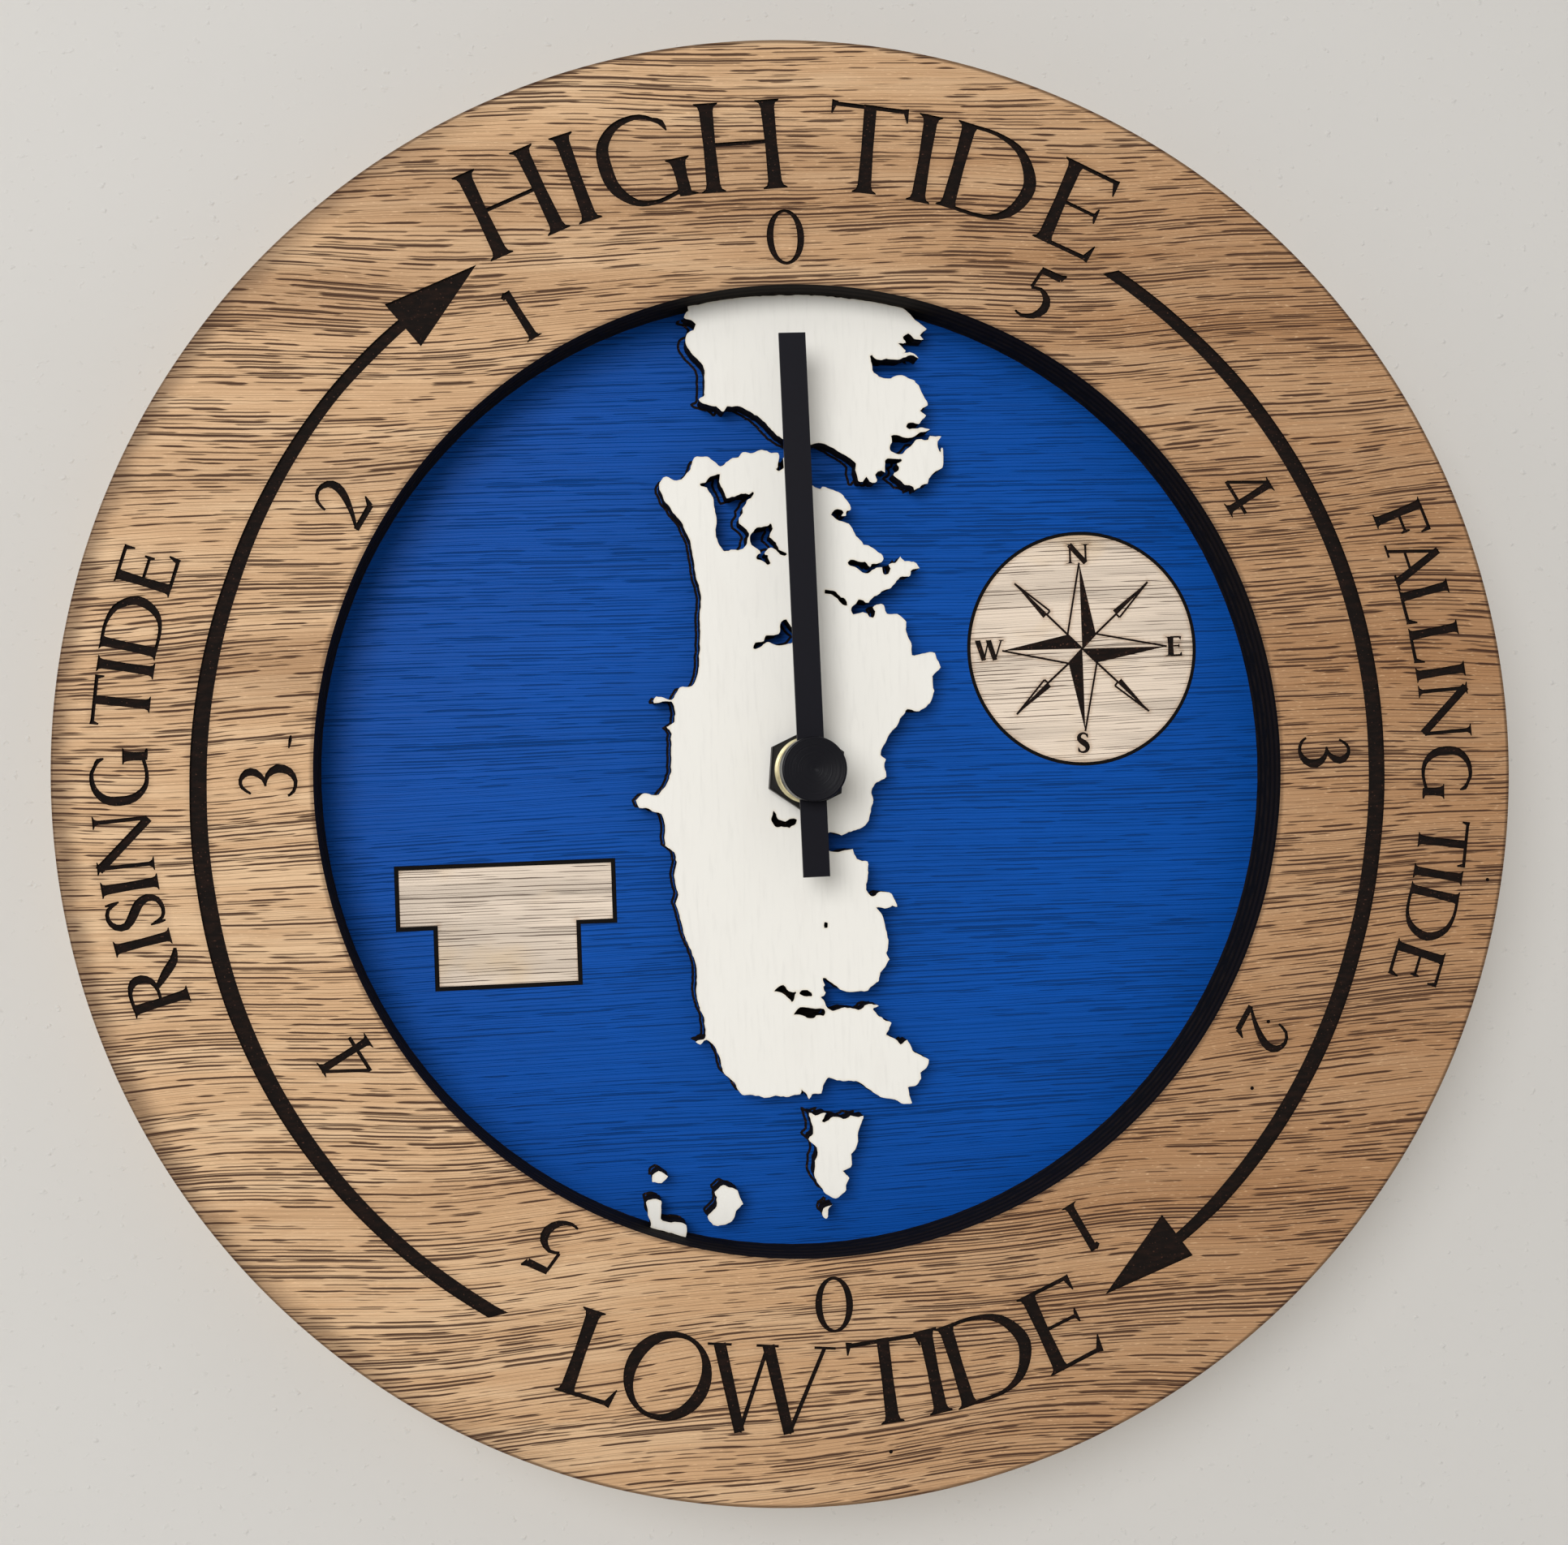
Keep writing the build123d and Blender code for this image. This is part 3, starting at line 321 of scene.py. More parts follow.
@look
def veneered_oak(bench, tint, x, y, z):
    radius = from_middle(x, z)
    figure = bench.noise(x / 70, 0.3, z / 4.5, 4, 0.6)
    broad = bench.noise(x / 160, 1.7, z / 22, 2)
    fibre = bench.noise(x / 9, 4.2, z / 0.35, 2)
    fleck = bench.noise(x / 1.3, 7.7, z / 0.28, 1).ramp(0.62, 0.76)
    smoke = bench.noise(x / 11, 6.1, z / 9, 3)
    # Darker, redder oak towards the right of the ring
    toward_right = (x * 0.94 - z * 0.2 + (broad - 0.5) * 160).ramp(-110, 150)
    leftward = (x * -1).ramp(20, 120)
    rim = (radius + smoke * 6).ramp(138.0, 142.8) * leftward * 0.7
    rim = rim.larger(radius.ramp(139.2, 139.75) * 0.85).larger((94.2 - radius).ramp(0.2, 1.0) * 0.6)
    halo = bench.mark("near_cut").ramp(0.1, 0.95) * (smoke * 0.8 + 0.1)
    grain = open_grain(bench, x, z)
    russet = [c * share for c, share in zip(tint.oak, (0.74, 0.65, 0.56))]
    wood = bench.mix(linear(tint.oak),
                     (linear(tint.oak_light), figure.ramp(0.42, 0.66)),
                     (linear(tint.oak_dark), broad.ramp(0.50, 0.72) * 0.55),
                     (linear(tint.oak_dark), fibre.ramp(0.45, 0.75) * 0.25),
                     (linear(russet), toward_right * 0.78),
                     (linear(tint.oak_light, 1.12), fleck * 0.3),
                     (linear(tint.oak_dark, 0.62), rim.larger(halo * 0.35)),
                     (linear(tint.pore), grain * 0.95))
    rough = grain * 0.25 + fibre * 0.12 + 0.48
    return bench.surface(wood, rough, (grain * -1 + fibre * 0.12, 0.16, 0.7), specular=0.25)


@look
def charred_cut(bench, tint, x, y, z):
    soot = bench.noise(x / 2.2, y / 1.1, z / 0.7, 3)
    speck = bench.noise(x / 0.4, y / 0.4, z / 0.4, 0).ramp(0.74, 0.8)
    wood = bench.mix(linear(tint.char, 0.75),
                     (linear(tint.char, 1.35), soot.ramp(0.4, 0.7)),
                     (linear((0.36, 0.24, 0.19)), speck * 0.6))
    return bench.surface(wood, 0.85, (soot, 0.2, 0.6), specular=0.15)


@look
def charred_edge(bench, tint, x, y, z):
    soot = bench.noise(x / 3, y / 2, z / 3, 3)
    ply = plies(y)
    wood = bench.mix([0.006, 0.005, 0.0045, 1],
                     ([0.014, 0.010, 0.008, 1], ply),
                     ([0.020, 0.014, 0.010, 1], soot.ramp(0.6, 0.85) * 0.5))
    return bench.surface(wood, 0.8, (soot + ply * 0.3, 0.1, 0.6), specular=0.06)


@look
def bare_ply(bench, tint, x, y, z):
    figure = bench.noise(x / 60, 2.4, z / 5, 4, 0.6)
    fibre = bench.noise(x / 8, 7.7, z / 0.4, 2)
    wood = bench.mix(linear(tint.bare_ply),
                     (linear(tint.bare_ply, 0.84), figure.ramp(0.4, 0.65)),
                     (linear(tint.bare_ply, 0.7), fibre.ramp(0.5, 0.8) * 0.4))
    return bench.surface(wood, 0.72, (fibre, 0.08, 0.5))


@look
def spacer_ply(bench, tint, x, y, z):
    """Plywood whose cut walls are burnt and whose faces are bare."""
    normal = bench.split(bench.add("ShaderNodeNewGeometry", output="Normal"))
    facing = abs(normal[1]) * from_middle(x, z).ramp(93.4, 94)
    fibre = bench.noise(x / 8, 7.7, z / 0.4, 2)
    soot = bench.noise(x / 3, y / 2, z / 3, 3)
    burnt = bench.mix([0.005, 0.0045, 0.004, 1],
                      ([0.018, 0.012, 0.008, 1], plies(y) * soot.ramp(0.3, 0.7)))
    bare = bench.mix(linear(tint.bare_ply), (linear(tint.bare_ply, 0.75), fibre))
    wood = bench.mix(burnt, (bare, facing.ramp(0.6, 0.8)))
    return bench.surface(wood, 0.8, (soot + fibre * 0.3, 0.1, 0.6), specular=0.08)


@look
def sea_paint(bench, tint, x, y, z):
    cloud = bench.noise(x / 30, 8.8, z / 18, 3)
    fibre = bench.noise(x / 10, 3.3, z / 0.4, 2)
    grain = open_grain(bench, x * 0.9, z, seed=5.3, cover=-0.05, fineness=0.75, wander=3.0)
    paint = bench.mix(linear(tint.sea),
                      (linear(tint.sea, 1.12), cloud),
                      (linear(tint.sea, 0.5), grain * 0.6),
                      (linear(tint.sea, 0.85), fibre.ramp(0.45, 0.75) * 0.35))
    relief = (grain * -1 + fibre * 0.15, 0.14, 0.8)
    return bench.surface(paint, 0.45 + grain * 0.2, relief, specular=0.1)


@look
def land_paint(bench, tint, x, y, z):
    streak = bench.noise(x / 0.8, 2.2, z / 7, 3)
    broad = bench.noise(x / 9, 5.1, z / 22, 2)
    edge = bench.mark("near_edge")
    paint = bench.mix(linear(tint.land),
                      (linear(tint.land, 0.93), streak.ramp(0.5, 0.75) * 0.3),
                      (linear((0.88, 0.865, 0.84)), broad.ramp(0.5, 0.75) * 0.4),
                      (linear((0.78, 0.69, 0.50)), edge.ramp(0.5, 1.0) * 0.25))
    return bench.surface(paint, 0.55, (streak, 0.05, 0.6), specular=0.3)


@look
def pale_veneer(bench, tint, x, y, z):
    figure = bench.noise(x / 50, 9.3, z / 3.5, 3)
    cloud = bench.noise(x / 16, 1.3, z / 12, 2)
    halo = bench.mark("near_cut").ramp(0.1, 0.95)
    grain = open_grain(bench, x * 0.75, z * 1.15, seed=9.7, cover=-0.005, fineness=0.56, wander=5.0)
    wood = bench.mix(linear(tint.pale_oak),
                     (linear(tint.pale_oak, 0.9), figure.ramp(0.4, 0.65)),
                     (linear((0.85, 0.74, 0.59)), cloud.ramp(0.5, 0.7) * 0.5),
                     (linear((0.60, 0.45, 0.30)), halo * 0.35),
                     (linear((0.22, 0.13, 0.08)), grain * 0.9))
    return bench.surface(wood, 0.5 + grain * 0.2, (grain * -1, 0.12, 0.6), specular=0.25)


# Metals and mouldings

@look
def black_lacquer(bench, tint, x, y, z):
    orange_peel = bench.noise(x / 0.6, y / 0.6, z / 0.6, 2)
    paint = bench.mix(linear(tint.lacquer), (linear(tint.lacquer, 0.85), orange_peel))
    return bench.surface(paint, 0.40 + orange_peel * 0.1, (orange_peel, 0.01, 0.4), specular=0.1)


@look
def spun_black(bench, tint, x, y, z):
    """Black paint over the fine rings of turning, which draw the light out into wedges."""
    ring = bench.noise(from_middle(x, z) / 0.10, 0.0, 3.3, 1)
    paint = bench.mix(linear(tint.lacquer, 0.6), (linear(tint.lacquer, 0.9), ring))
    return bench.surface(paint, 0.26, (ring, 0.03, 0.8), specular=0.14)


@look
def blackened_steel(bench, tint, x, y, z):
    scratch = bench.noise(x / 0.3, y / 2, z / 2.5, 3)
    oxide = bench.mix([0.004, 0.0035, 0.003, 1], ([0.016, 0.012, 0.010, 1], scratch.ramp(0.45, 0.8)))
    return bench.surface(oxide, 0.35 + scratch * 0.2, (scratch, 0.02, 0.4), specular=0.2)


@look
def turned_brass(bench, tint, x, y, z):
    tool = bench.noise(from_middle(x, z) / 0.09, y / 0.12, 0.0, 2)
    tarnish = bench.noise(x / 2, y / 2, z / 2, 3)
    dull = tool.ramp(0.45, 0.7) * 0.6 + tarnish.ramp(0.45, 0.75) * 0.4
    metal = bench.mix(linear(tint.brass), (linear((0.60, 0.50, 0.26)), dull))
    return bench.surface(metal, 0.2 + tool * 0.18, (tool, 0.02, 0.5), metallic=1.0)


def metal_sheet(bench, place, light, dark, rough, grain):
    """Drawn or plated metal, with the sizes of its grain along x, y and z in mm."""
    line = bench.noise(*[p / size for p, size in zip(place, grain)], 3)
    blotch = bench.noise(*[p / 4 for p in place], 2)
    metal = bench.mix(light, (dark, line.ramp(0.35, 0.75) * 0.5 + blotch.ramp(0.5, 0.8) * 0.3))
    return bench.surface(metal, rough + line * 0.15, (line, 0.01, 0.5), metallic=1.0)


@look
def plated_steel(bench, tint, *place):
    return metal_sheet(bench, place, [0.56, 0.56, 0.55, 1], [0.36, 0.36, 0.37, 1], 0.24, (0.4, 6, 6))


@look
def sintered_magnet(bench, tint, *place):
    return metal_sheet(bench, place, [0.09, 0.09, 0.10, 1], [0.04, 0.04, 0.045, 1], 0.4, (0.2, 0.2, 0.2))


@look
def cell_sleeve(bench, tint, x, y, z):
    """Plain sleeve of the cell in two bands, with bare metal at both ends."""
    low, high = (corner.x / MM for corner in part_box("battery_cell"))
    share = (x - low) / (high - low)
    scuff = bench.noise(x / 8, y / 1.5, z / 1.5, 3)
    ends = share.ramp(0.955, 0.96) + (1 - share.ramp(0.035, 0.04))
    sleeve = bench.mix([0.10, 0.105, 0.115, 1],
                       ([0.55, 0.28, 0.10, 1], share.ramp(0.70, 0.71)),
                       ([0.6, 0.6, 0.6, 1], ends.smaller(1.0)))
    return bench.surface(sleeve, 0.28 + scuff * 0.15, (scuff, 0.02, 0.3), metallic=0.7)


def moulding(bench, place, tone, rough, texture):
    """Moulded plastic with a fine spark texture of a size in mm."""
    spark = bench.noise(*[p / texture for p in place], 2)
    flow = bench.noise(*[p / 14 for p in place], 2)
    lighter = [min(1.0, c * 1.35) for c in tone[:3]] + [1]
    mass = bench.mix(tone, (lighter, flow * 0.5 + spark * 0.3))
    return bench.surface(mass, rough + spark * 0.12, (spark, 0.02, 0.5))


@look
def moulded_black(bench, tint, *place):
    return moulding(bench, place, [0.012, 0.012, 0.013, 1], 0.42, 0.35)


@look
def acetal(bench, tint, *place):
    return moulding(bench, place, [0.66, 0.65, 0.60, 1], 0.35, 0.5)


@look
def rubber_ring(bench, tint, *place):
    return moulding(bench, place, [0.015, 0.015, 0.015, 1], 0.75, 0.25)


@look
def green_board(bench, tint, *place):
    return moulding(bench, place, [0.012, 0.10, 0.035, 1], 0.35, 0.6)


@look
def enamel_wire(bench, tint, x, y, z):
    low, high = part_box("coil_winding")
    run = x if (high - low).x > (high - low).z else z
    # Each turn of wire is painted lighter along its crown and darker in the groove to the next: painted
    # highlight and painted shade that follow the relief of the turns
    turn = run.wave(WIRE_PITCH).ramp(-1, 1)
    wire = bench.mix([0.30, 0.075, 0.02, 1], ([0.72, 0.26, 0.09, 1], turn))
    return bench.surface(wire, 0.35, (turn, 0.05, 0.8), metallic=0.8)


@look
def plaster(bench, tint, x, y, z):
    """The wall: solid from the front, open from behind so that the clock's back can be seen."""
    trowel = bench.noise(x / 2.2, 0, z / 1.8, 2).ramp(0.62, 0.85) + bench.noise(x / 22, 2, z / 18, 2)
    cloud = bench.noise(x / 120, 3, z / 90, 2)
    wash = bench.mix(linear(tint.plaster), (linear(tint.plaster, 0.97), cloud))
    solid = bench.surface(wash, 0.85, (trowel, 0.5, 0.5))
    behind = bench.add("ShaderNodeNewGeometry", output="Backfacing")
    clear = bench.add("ShaderNodeBsdfTransparent")
    return bench.add("ShaderNodeMixShader", inputs={0: behind, 1: solid, 2: clear})


@look
def floor_paint(bench, tint, x, y, z):
    cloud = bench.noise(x / 90, y / 90, 0, 3)
    return bench.surface(bench.mix([0.70, 0.70, 0.68, 1], ([0.66, 0.66, 0.64, 1], cloud)), 0.8)


# Carving

def around(loop):
    """Each corner of a closed loop with the next one."""
    return zip(loop, loop[1:] + loop[:1])


def signed_area(loop):
    return sum(a[0] * b[1] - b[0] * a[1] for a, b in around(loop)) / 2


def circle(radius, centre=DIAL_CENTRE, parts=360):
    return [(centre[0] + radius * math.cos(math.tau * k / parts),
             centre[1] + radius * math.sin(math.tau * k / parts)) for k in range(parts)]


def inset(loop, width):
    """The loop moved inwards by a width, with mitred corners."""
    moved = []
    side = math.copysign(1, signed_area(loop))
    for k, spot in enumerate(loop):
        here = Vector(spot)
        before = (here - Vector(loop[k - 1])).normalized()
        after = (Vector(loop[(k + 1) % len(loop)]) - here).normalized()
        normal = (Vector((-before.y, before.x)) + Vector((-after.y, after.x))) * side
        reach = max(0.3, normal.length_squared / 2)
        moved.append(tuple(here + normal * width / reach))
    return moved


def triangles(corners):
    """A convex or nearly flat quad as two triangles."""
    a, b, c, d = corners
    return [t for t in ([a, b, c], [a, c, d]) if abs(signed_area(t)) > 1e-3]


def border(loop, width):
    """A strip of a given width along the inside of a loop."""
    inner = inset(loop, width)
    strip = []
    for (a, b), (c, d) in zip(around(loop), around(inner)):
        strip += triangles([a, b, d, c])
    return strip


def steps(first, last, parts):
    """Evenly spaced points from one to another, with both of them."""
    return [[a + (b - a) * k / parts for a, b in zip(first, last)] for k in range(parts + 1)]


def between(a, b, c, d, t):
    """A point between b and c on the smooth curve through all four."""
    return [0.5 * (2 * q + (r - p) * t + (2 * p - 5 * q + 4 * r - s) * t * t
                   + (3 * q - p - 3 * r + s) * t ** 3) for p, q, r, s in zip(a, b, c, d)]


def ribbon(spine, step=1.3):
    """A stroke through (x, z, width) points in mm, as triangles."""
    if len(spine) == 2:
        line = steps(*spine, max(1, math.ceil(math.dist(spine[0][:2], spine[1][:2]) / step)))
    else:
        line = []
        ends = [spine[0]] + list(spine) + [spine[-1]]
        for a, b, c, d in zip(ends, ends[1:], ends[2:], ends[3:]):
            parts = max(2, math.ceil(math.dist(b[:2], c[:2]) / step))
            line += [between(a, b, c, d, k / parts) for k in range(parts)]
        line.append(list(spine[-1]))
    sides = []
    for k, (x, z, width) in enumerate(line):
        ahead, behind = line[min(k + 1, len(line) - 1)], line[max(k - 1, 0)]
        along = Vector((ahead[0] - behind[0], ahead[1] - behind[1])).normalized()
        across = Vector((-along.y, along.x)) * max(width, 0.06) / 2
        sides.append(((x + across.x, z + across.y), (x - across.x, z - across.y)))
    return [t for (a, b), (c, d) in zip(sides, sides[1:]) for t in triangles([a, b, d, c])]


def stem(x, low=0.0, high=1.0, width=0.155, foot=True, top=True, serif=0.30):
    """An upright stroke that flares into thin serifs, as (x, z, width) points in cap heights."""
    flare = [(0, serif), (0.018, serif * 0.97), (0.04, (serif + 2 * width) / 3), (0.09, width * 1.08)]
    rows = [(low + z, w) for z, w in flare] if foot else [(low, width)]
    rows.append(((low + high) / 2, width * 0.94))
    rows += [(high - z, w) for z, w in reversed(flare)] if top else [(high, width)]
    return [[(x, z, w), (x, v, u)] for (z, w), (v, u) in zip(rows, rows[1:])]


def oval(x, z, wide, tall, thin, thick, tilt=0.0):
    """A closed stroke whose sides are thick, tilted by some degrees."""
    ring = []
    for k in range(25):
        turn = math.tau * k / 24
        width = thin + (thick - thin) * abs(math.cos(turn - math.radians(tilt))) ** 1.6
        ring.append((x + (wide - width) / 2 * math.cos(turn), z + (tall - width) / 2 * math.sin(turn), width))
    return [ring + ring[1:3]]


THIN = 0.045

LETTERS = {
    "A": [[(-.33, 0, .05), (-.01, 1.01, .05)], [(.31, 0, .15), (-.03, 1.01, .13)],
          [(-.22, .35, .04), (.21, .35, .04)], [(-.45, .014, .03), (-.20, .014, .03)],
          [(.16, .014, .03), (.47, .014, .03)]],
    "D": stem(-.43) + [[(-.43, .975, .045), (-.10, .975, .05), (.20, .87, .10), (.38, .63, .15),
                        (.40, .42, .16), (.26, .16, .11), (0, .03, .05), (-.43, .025, .045)]],
    "E": stem(-.285) + [[(-.285, .975, THIN), (.22, .975, .05)], [(.215, 1.0, .09), (.245, .81, .012)],
                        [(-.285, .52, .04), (.14, .52, .04)],
                        [(.165, .61, .012), (.15, .52, .05), (.165, .43, .012)],
                        [(-.285, .025, THIN), (.22, .03, .055)], [(.225, .0, .10), (.285, .20, .012)]],
    "F": stem(-.24) + [[(-.24, .975, THIN), (.25, .975, .05)], [(.245, 1.0, .09), (.275, .80, .012)],
                       [(-.24, .50, .04), (.13, .50, .04)],
                       [(.155, .60, .012), (.14, .50, .05), (.155, .41, .012)]],
    "G": [[(.345, .85, .04), (.13, .97, .055), (-.15, .93, .09), (-.345, .74, .14), (-.375, .48, .165),
           (-.32, .24, .14), (-.13, .05, .08), (.12, .015, .05), (.42, .09, .05)],
          [(.27, .92, .02), (.345, .86, .07), (.385, .76, .012)],
          [(.36, .055, .09), (.46, .03, .06), (.56, .012, .012)]] + stem(.42, .03, .44, foot=False),
    "H": stem(-.345) + stem(.345) + [[(-.345, .53, THIN), (.345, .53, THIN)]],
    "I": stem(0),
    "L": stem(-.275) + [[(-.275, .025, THIN), (.20, .03, .055)], [(.205, 0, .10), (.275, .21, .012)]],
    "N": stem(-.41, width=.06, serif=.24) + stem(.41, .05, width=.06, serif=.24, foot=False)
         + [[(-.44, .97, .15), (.40, .02, .14)]],
    "O": oval(0, .5, 1.03, 1.04, .05, .16, -22),
    "R": stem(-.40) + [[(-.40, .975, THIN), (-.10, .97, .06), (.07, .87, .13), (.095, .71, .145),
                        (0, .55, .09), (-.20, .49, .045), (-.40, .50, .04)],
                       [(-.14, .50, .06), (.07, .27, .15), (.25, .07, .14), (.45, -.015, .04)]],
    "S": [[(.225, .78, .03), (.14, .95, .055), (-.04, .985, .06), (-.19, .88, .10), (-.21, .70, .13),
           (-.05, .55, .16), (.13, .42, .16), (.215, .25, .13), (.15, .08, .09), (-.03, .015, .055),
           (-.18, .06, .05), (-.25, .22, .03)],
          [(.215, .99, .012), (.22, .87, .05), (.24, .74, .012)],
          [(-.24, .01, .012), (-.25, .13, .05), (-.27, .28, .012)]],
    "T": stem(0, top=False) + [[(-.42, .97, .05), (.41, .97, .05)], [(-.40, 1.01, .08), (-.43, .86, .012)],
                               [(.40, 1.0, .08), (.43, .84, .012)]],
    "W": [[(-.60, .99, .15), (-.30, -.02, .13)], [(-.30, -.02, .05), (-.04, .97, .045)],
          [(-.03, .99, .15), (.28, -.02, .13)], [(.28, -.02, .05), (.63, .99, .045)],
          [(-.74, .986, .028), (-.46, .986, .028)], [(-.17, .986, .028), (.09, .986, .028)],
          [(.51, .986, .028), (.76, .986, .028)]],
    "0": oval(0, .5, .69, 1.02, .045, .115),
    "1": stem(0, high=.985, width=.135, top=False) + [[(-.125, .90, .06), (-.02, .945, .12)]],
    "2": [[(-.27, .70, .03), (-.20, .90, .05), (-.02, .985, .06), (.16, .90, .11), (.205, .73, .14),
           (.12, .52, .12), (-.08, .26, .07), (-.28, .06, .04)],
          [(-.30, .05, .09), (.22, .05, .10)], [(.20, .05, .10), (.31, .21, .015)]],
    "3": [[(-.23, .80, .03), (-.12, .95, .05), (.02, .98, .06), (.15, .87, .12), (.15, .72, .12),
           (.03, .58, .06), (-.10, .54, .03)],
          [(-.06, .545, .03), (.10, .50, .08), (.215, .33, .15), (.16, .12, .12), (-.02, .01, .06),
           (-.20, .05, .05), (-.28, .15, .03)]],
    "4": stem(.13, width=.12) + [[(.10, 1.0, .05), (-.33, .29, .05)], [(-.36, .27, .055), (.36, .27, .055)]],
    "5": [[(-.17, .94, .11), (.24, .955, .13)], [(.22, .955, .13), (.32, 1.05, .02)],
          [(-.15, .94, .05), (-.20, .56, .05)],
          [(-.20, .55, .04), (-.02, .60, .06), (.16, .48, .13), (.19, .28, .15), (.06, .08, .10),
           (-.15, -.01, .05), (-.29, .02, .03)]],
}

# Letters with their angles in degrees clockwise from the top, and the radius of each hour's middle
HIGH_TIDE = list(zip("HIGHTIDE", (-23.65, -17.97, -12.55, -3.96, 6.7, 11.6, 17.75, 25.8)))
LOW_TIDE = list(zip("LOWTIDE", (201.6, 195.4, 186.0, 174.8, 170.45, 164.7, 157.1)))
RISING_TIDE = list(zip("RISINGTIDE", (
    -105.75, -102.46, -99.9, -97.68, -94.12, -88.9, -82.48, -79.6, -75.91, -71.1)))
FALLING_TIDE = list(zip("FALLINGTIDE", (
    69.63, 72.95, 77.16, 80.81, 83.2, 86.7, 91.97, 98.45, 101.35, 105.12, 109.87)))
HOURS = list(zip("054321" * 2, (
    359.4, 28.0, 59.6, 90.0, 121.8, 151.2, 179.5, 210.8, 239.9, 270.8, 301.5, 329.3), (
    102.1, 102.7, 102.1, 102.0, 102.8, 103.0, 101.9, 101.8, 101.9, 101.2, 100.8, 101.8)))

# Radius of the letters' feet, and the middle of the flatter curve of one word
HIGH_TIDE_FOOT, HIGH_TIDE_CENTRE = 123.3, (0, -12)
LOW_TIDE_FOOT = 125.6


def polar(angle, radius, centre=DIAL_CENTRE):
    """A point at so many degrees clockwise from the top."""
    turn = math.radians(angle)
    return centre[0] + radius * math.sin(turn), centre[1] + radius * math.cos(turn)


def lay(letter, height, foot, turn, weight=1.0, kerf=0.0):
    """A letter's strokes as triangles, with its foot's middle at a point and turned clockwise.

    Every stroke is widened by the burnt kerf, which tells most in the thin ones."""
    c, s = math.cos(math.radians(turn)), math.sin(math.radians(turn))
    cut = []
    for stroke in LETTERS[letter]:
        cut += ribbon([(foot[0] + height * (x * c + z * s), foot[1] + height * (z * c - x * s),
                        height * width * weight + kerf) for x, z, width in stroke])
    return cut


# Bends as (angle, radius, share of the shaft's width)
RIGHT_SHAFT = ((33.9, 113.7, .79), (36, 113.65, .81), (42, 113.45, .85), (50, 113.4, .94),
               (60, 113.2, 1.0), (70, 113.0, 1.03), (80, 112.75, 1.06), (90, 112.6, 1.06),
               (100, 112.7, 1.06), (110, 113.25, 1.07), (120, 114.25, 1.07), (130, 115.2, 1.0),
               (138, 115.85, .90), (142.3, 116.0, .75), (144.5, 116.0, .70))
LEFT_SHAFT = ((212.6, 117.7, .82), (216, 117.55, .85), (222, 117.35, .88), (230, 117.0, .95),
              (240, 116.4, 1.0), (250, 115.6, 1.05), (260, 114.55, 1.05), (270, 113.8, 1.02),
              (280, 113.45, .98), (290, 113.2, .90), (300, 113.35, .82), (310, 113.55, .75),
              (316, 113.4, .76), (320.3, 113.35, .7))


def arrow(bends, tip, barbs, start):
    """A long curved arrow with its bends, tip, two barbs, and a corner that slants its start."""
    shaft = sizes().shaft_width / MM
    line = [bends[0]]
    for one, other in zip(bends, bends[1:]):
        line += steps(one, other, math.ceil((other[0] - one[0]) / 4))[1:]
    cut = ribbon([(*polar(angle, radius), shaft * share) for angle, radius, share in line], 2.0)
    angle, radius, share = bends[0]
    sides = [polar(angle + 0.05, radius + side * shaft * share / 2) for side in (-1, 1)]
    return cut + [[polar(*spot) for spot in (tip, *barbs)], [polar(*start), *sides]]


STRAY_TICK = ((-96.75, 9.7, 0.25), (-96.9, 8.8, 0.65), (-97.2, 7.3, 0.25))
STRAY_DOTS = ((134.54, -26.43), (88.46, -52.35), (84.66, -65.15), (10.77, -130.51))


def dial_cuts():
    """Everything that is carved in the ring, as triangles in mm."""
    size, cut = sizes(), []
    title, caption, digit = (h / MM for h in (size.title_height, size.caption_height, size.digit_height))
    for letter, angle in HIGH_TIDE:
        foot = polar(angle, HIGH_TIDE_FOOT, HIGH_TIDE_CENTRE)
        cut += lay(letter, title, foot, angle, weight=0.9, kerf=0.08)
    for letter, angle in LOW_TIDE:
        cut += lay(letter, title * 0.948, polar(angle, LOW_TIDE_FOOT), angle - 180, weight=0.92, kerf=0.08)
    for letter, angle in RISING_TIDE:
        foot = polar(angle, 122.3 + (angle + 107) / 40)
        cut += lay(letter, caption, foot, angle, weight=0.93, kerf=0.2)
    for letter, angle in FALLING_TIDE:
        foot = polar(angle, 122.8 - (angle - 69) / 31)
        cut += lay(letter, caption * 0.99, foot, angle, weight=0.93, kerf=0.2)
    for mark, angle, radius in HOURS:
        cut += lay(mark, digit, polar(angle, radius - digit / 2), angle, weight=1.02, kerf=0.12)
    cut += arrow(RIGHT_SHAFT, tip=(152.52, 116.5), barbs=[(143.5, 110.3), (143.59, 120.4)],
                 start=(32.75, 112.55))
    cut += arrow(LEFT_SHAFT, tip=(328.37, 114.0), barbs=[(319.35, 118.2), (319.2, 108.0)],
                 start=(211.3, 116.4))
    cut += ribbon(STRAY_TICK)
    cut += [circle(STRAY_DOT_RADIUS, spot, parts=10) for spot in STRAY_DOTS]
    return cut


def tree_of(spots):
    """A tree that finds the nearest of some points."""
    tree = KDTree(len(spots))
    for k, (x, z) in enumerate(spots):
        tree.insert((x, z, 0), k)
    tree.balance()
    return tree


def sprinkle(edges, tree, reach, step):
    """Points on a grid near some edges, so that a tint along them has somewhere to end."""
    columns, rows = (range(int((min(side) - reach) / step), int((max(side) + reach) / step) + 1)
                     for side in zip(*edges))
    spots = []
    for i in columns:
        for j in rows:
            spot = ((i + 0.5 * (j % 2)) * step, j * step)
            if step * 0.4 < tree.find((*spot, 0))[2] < reach:
                spots.append(spot)
    return spots


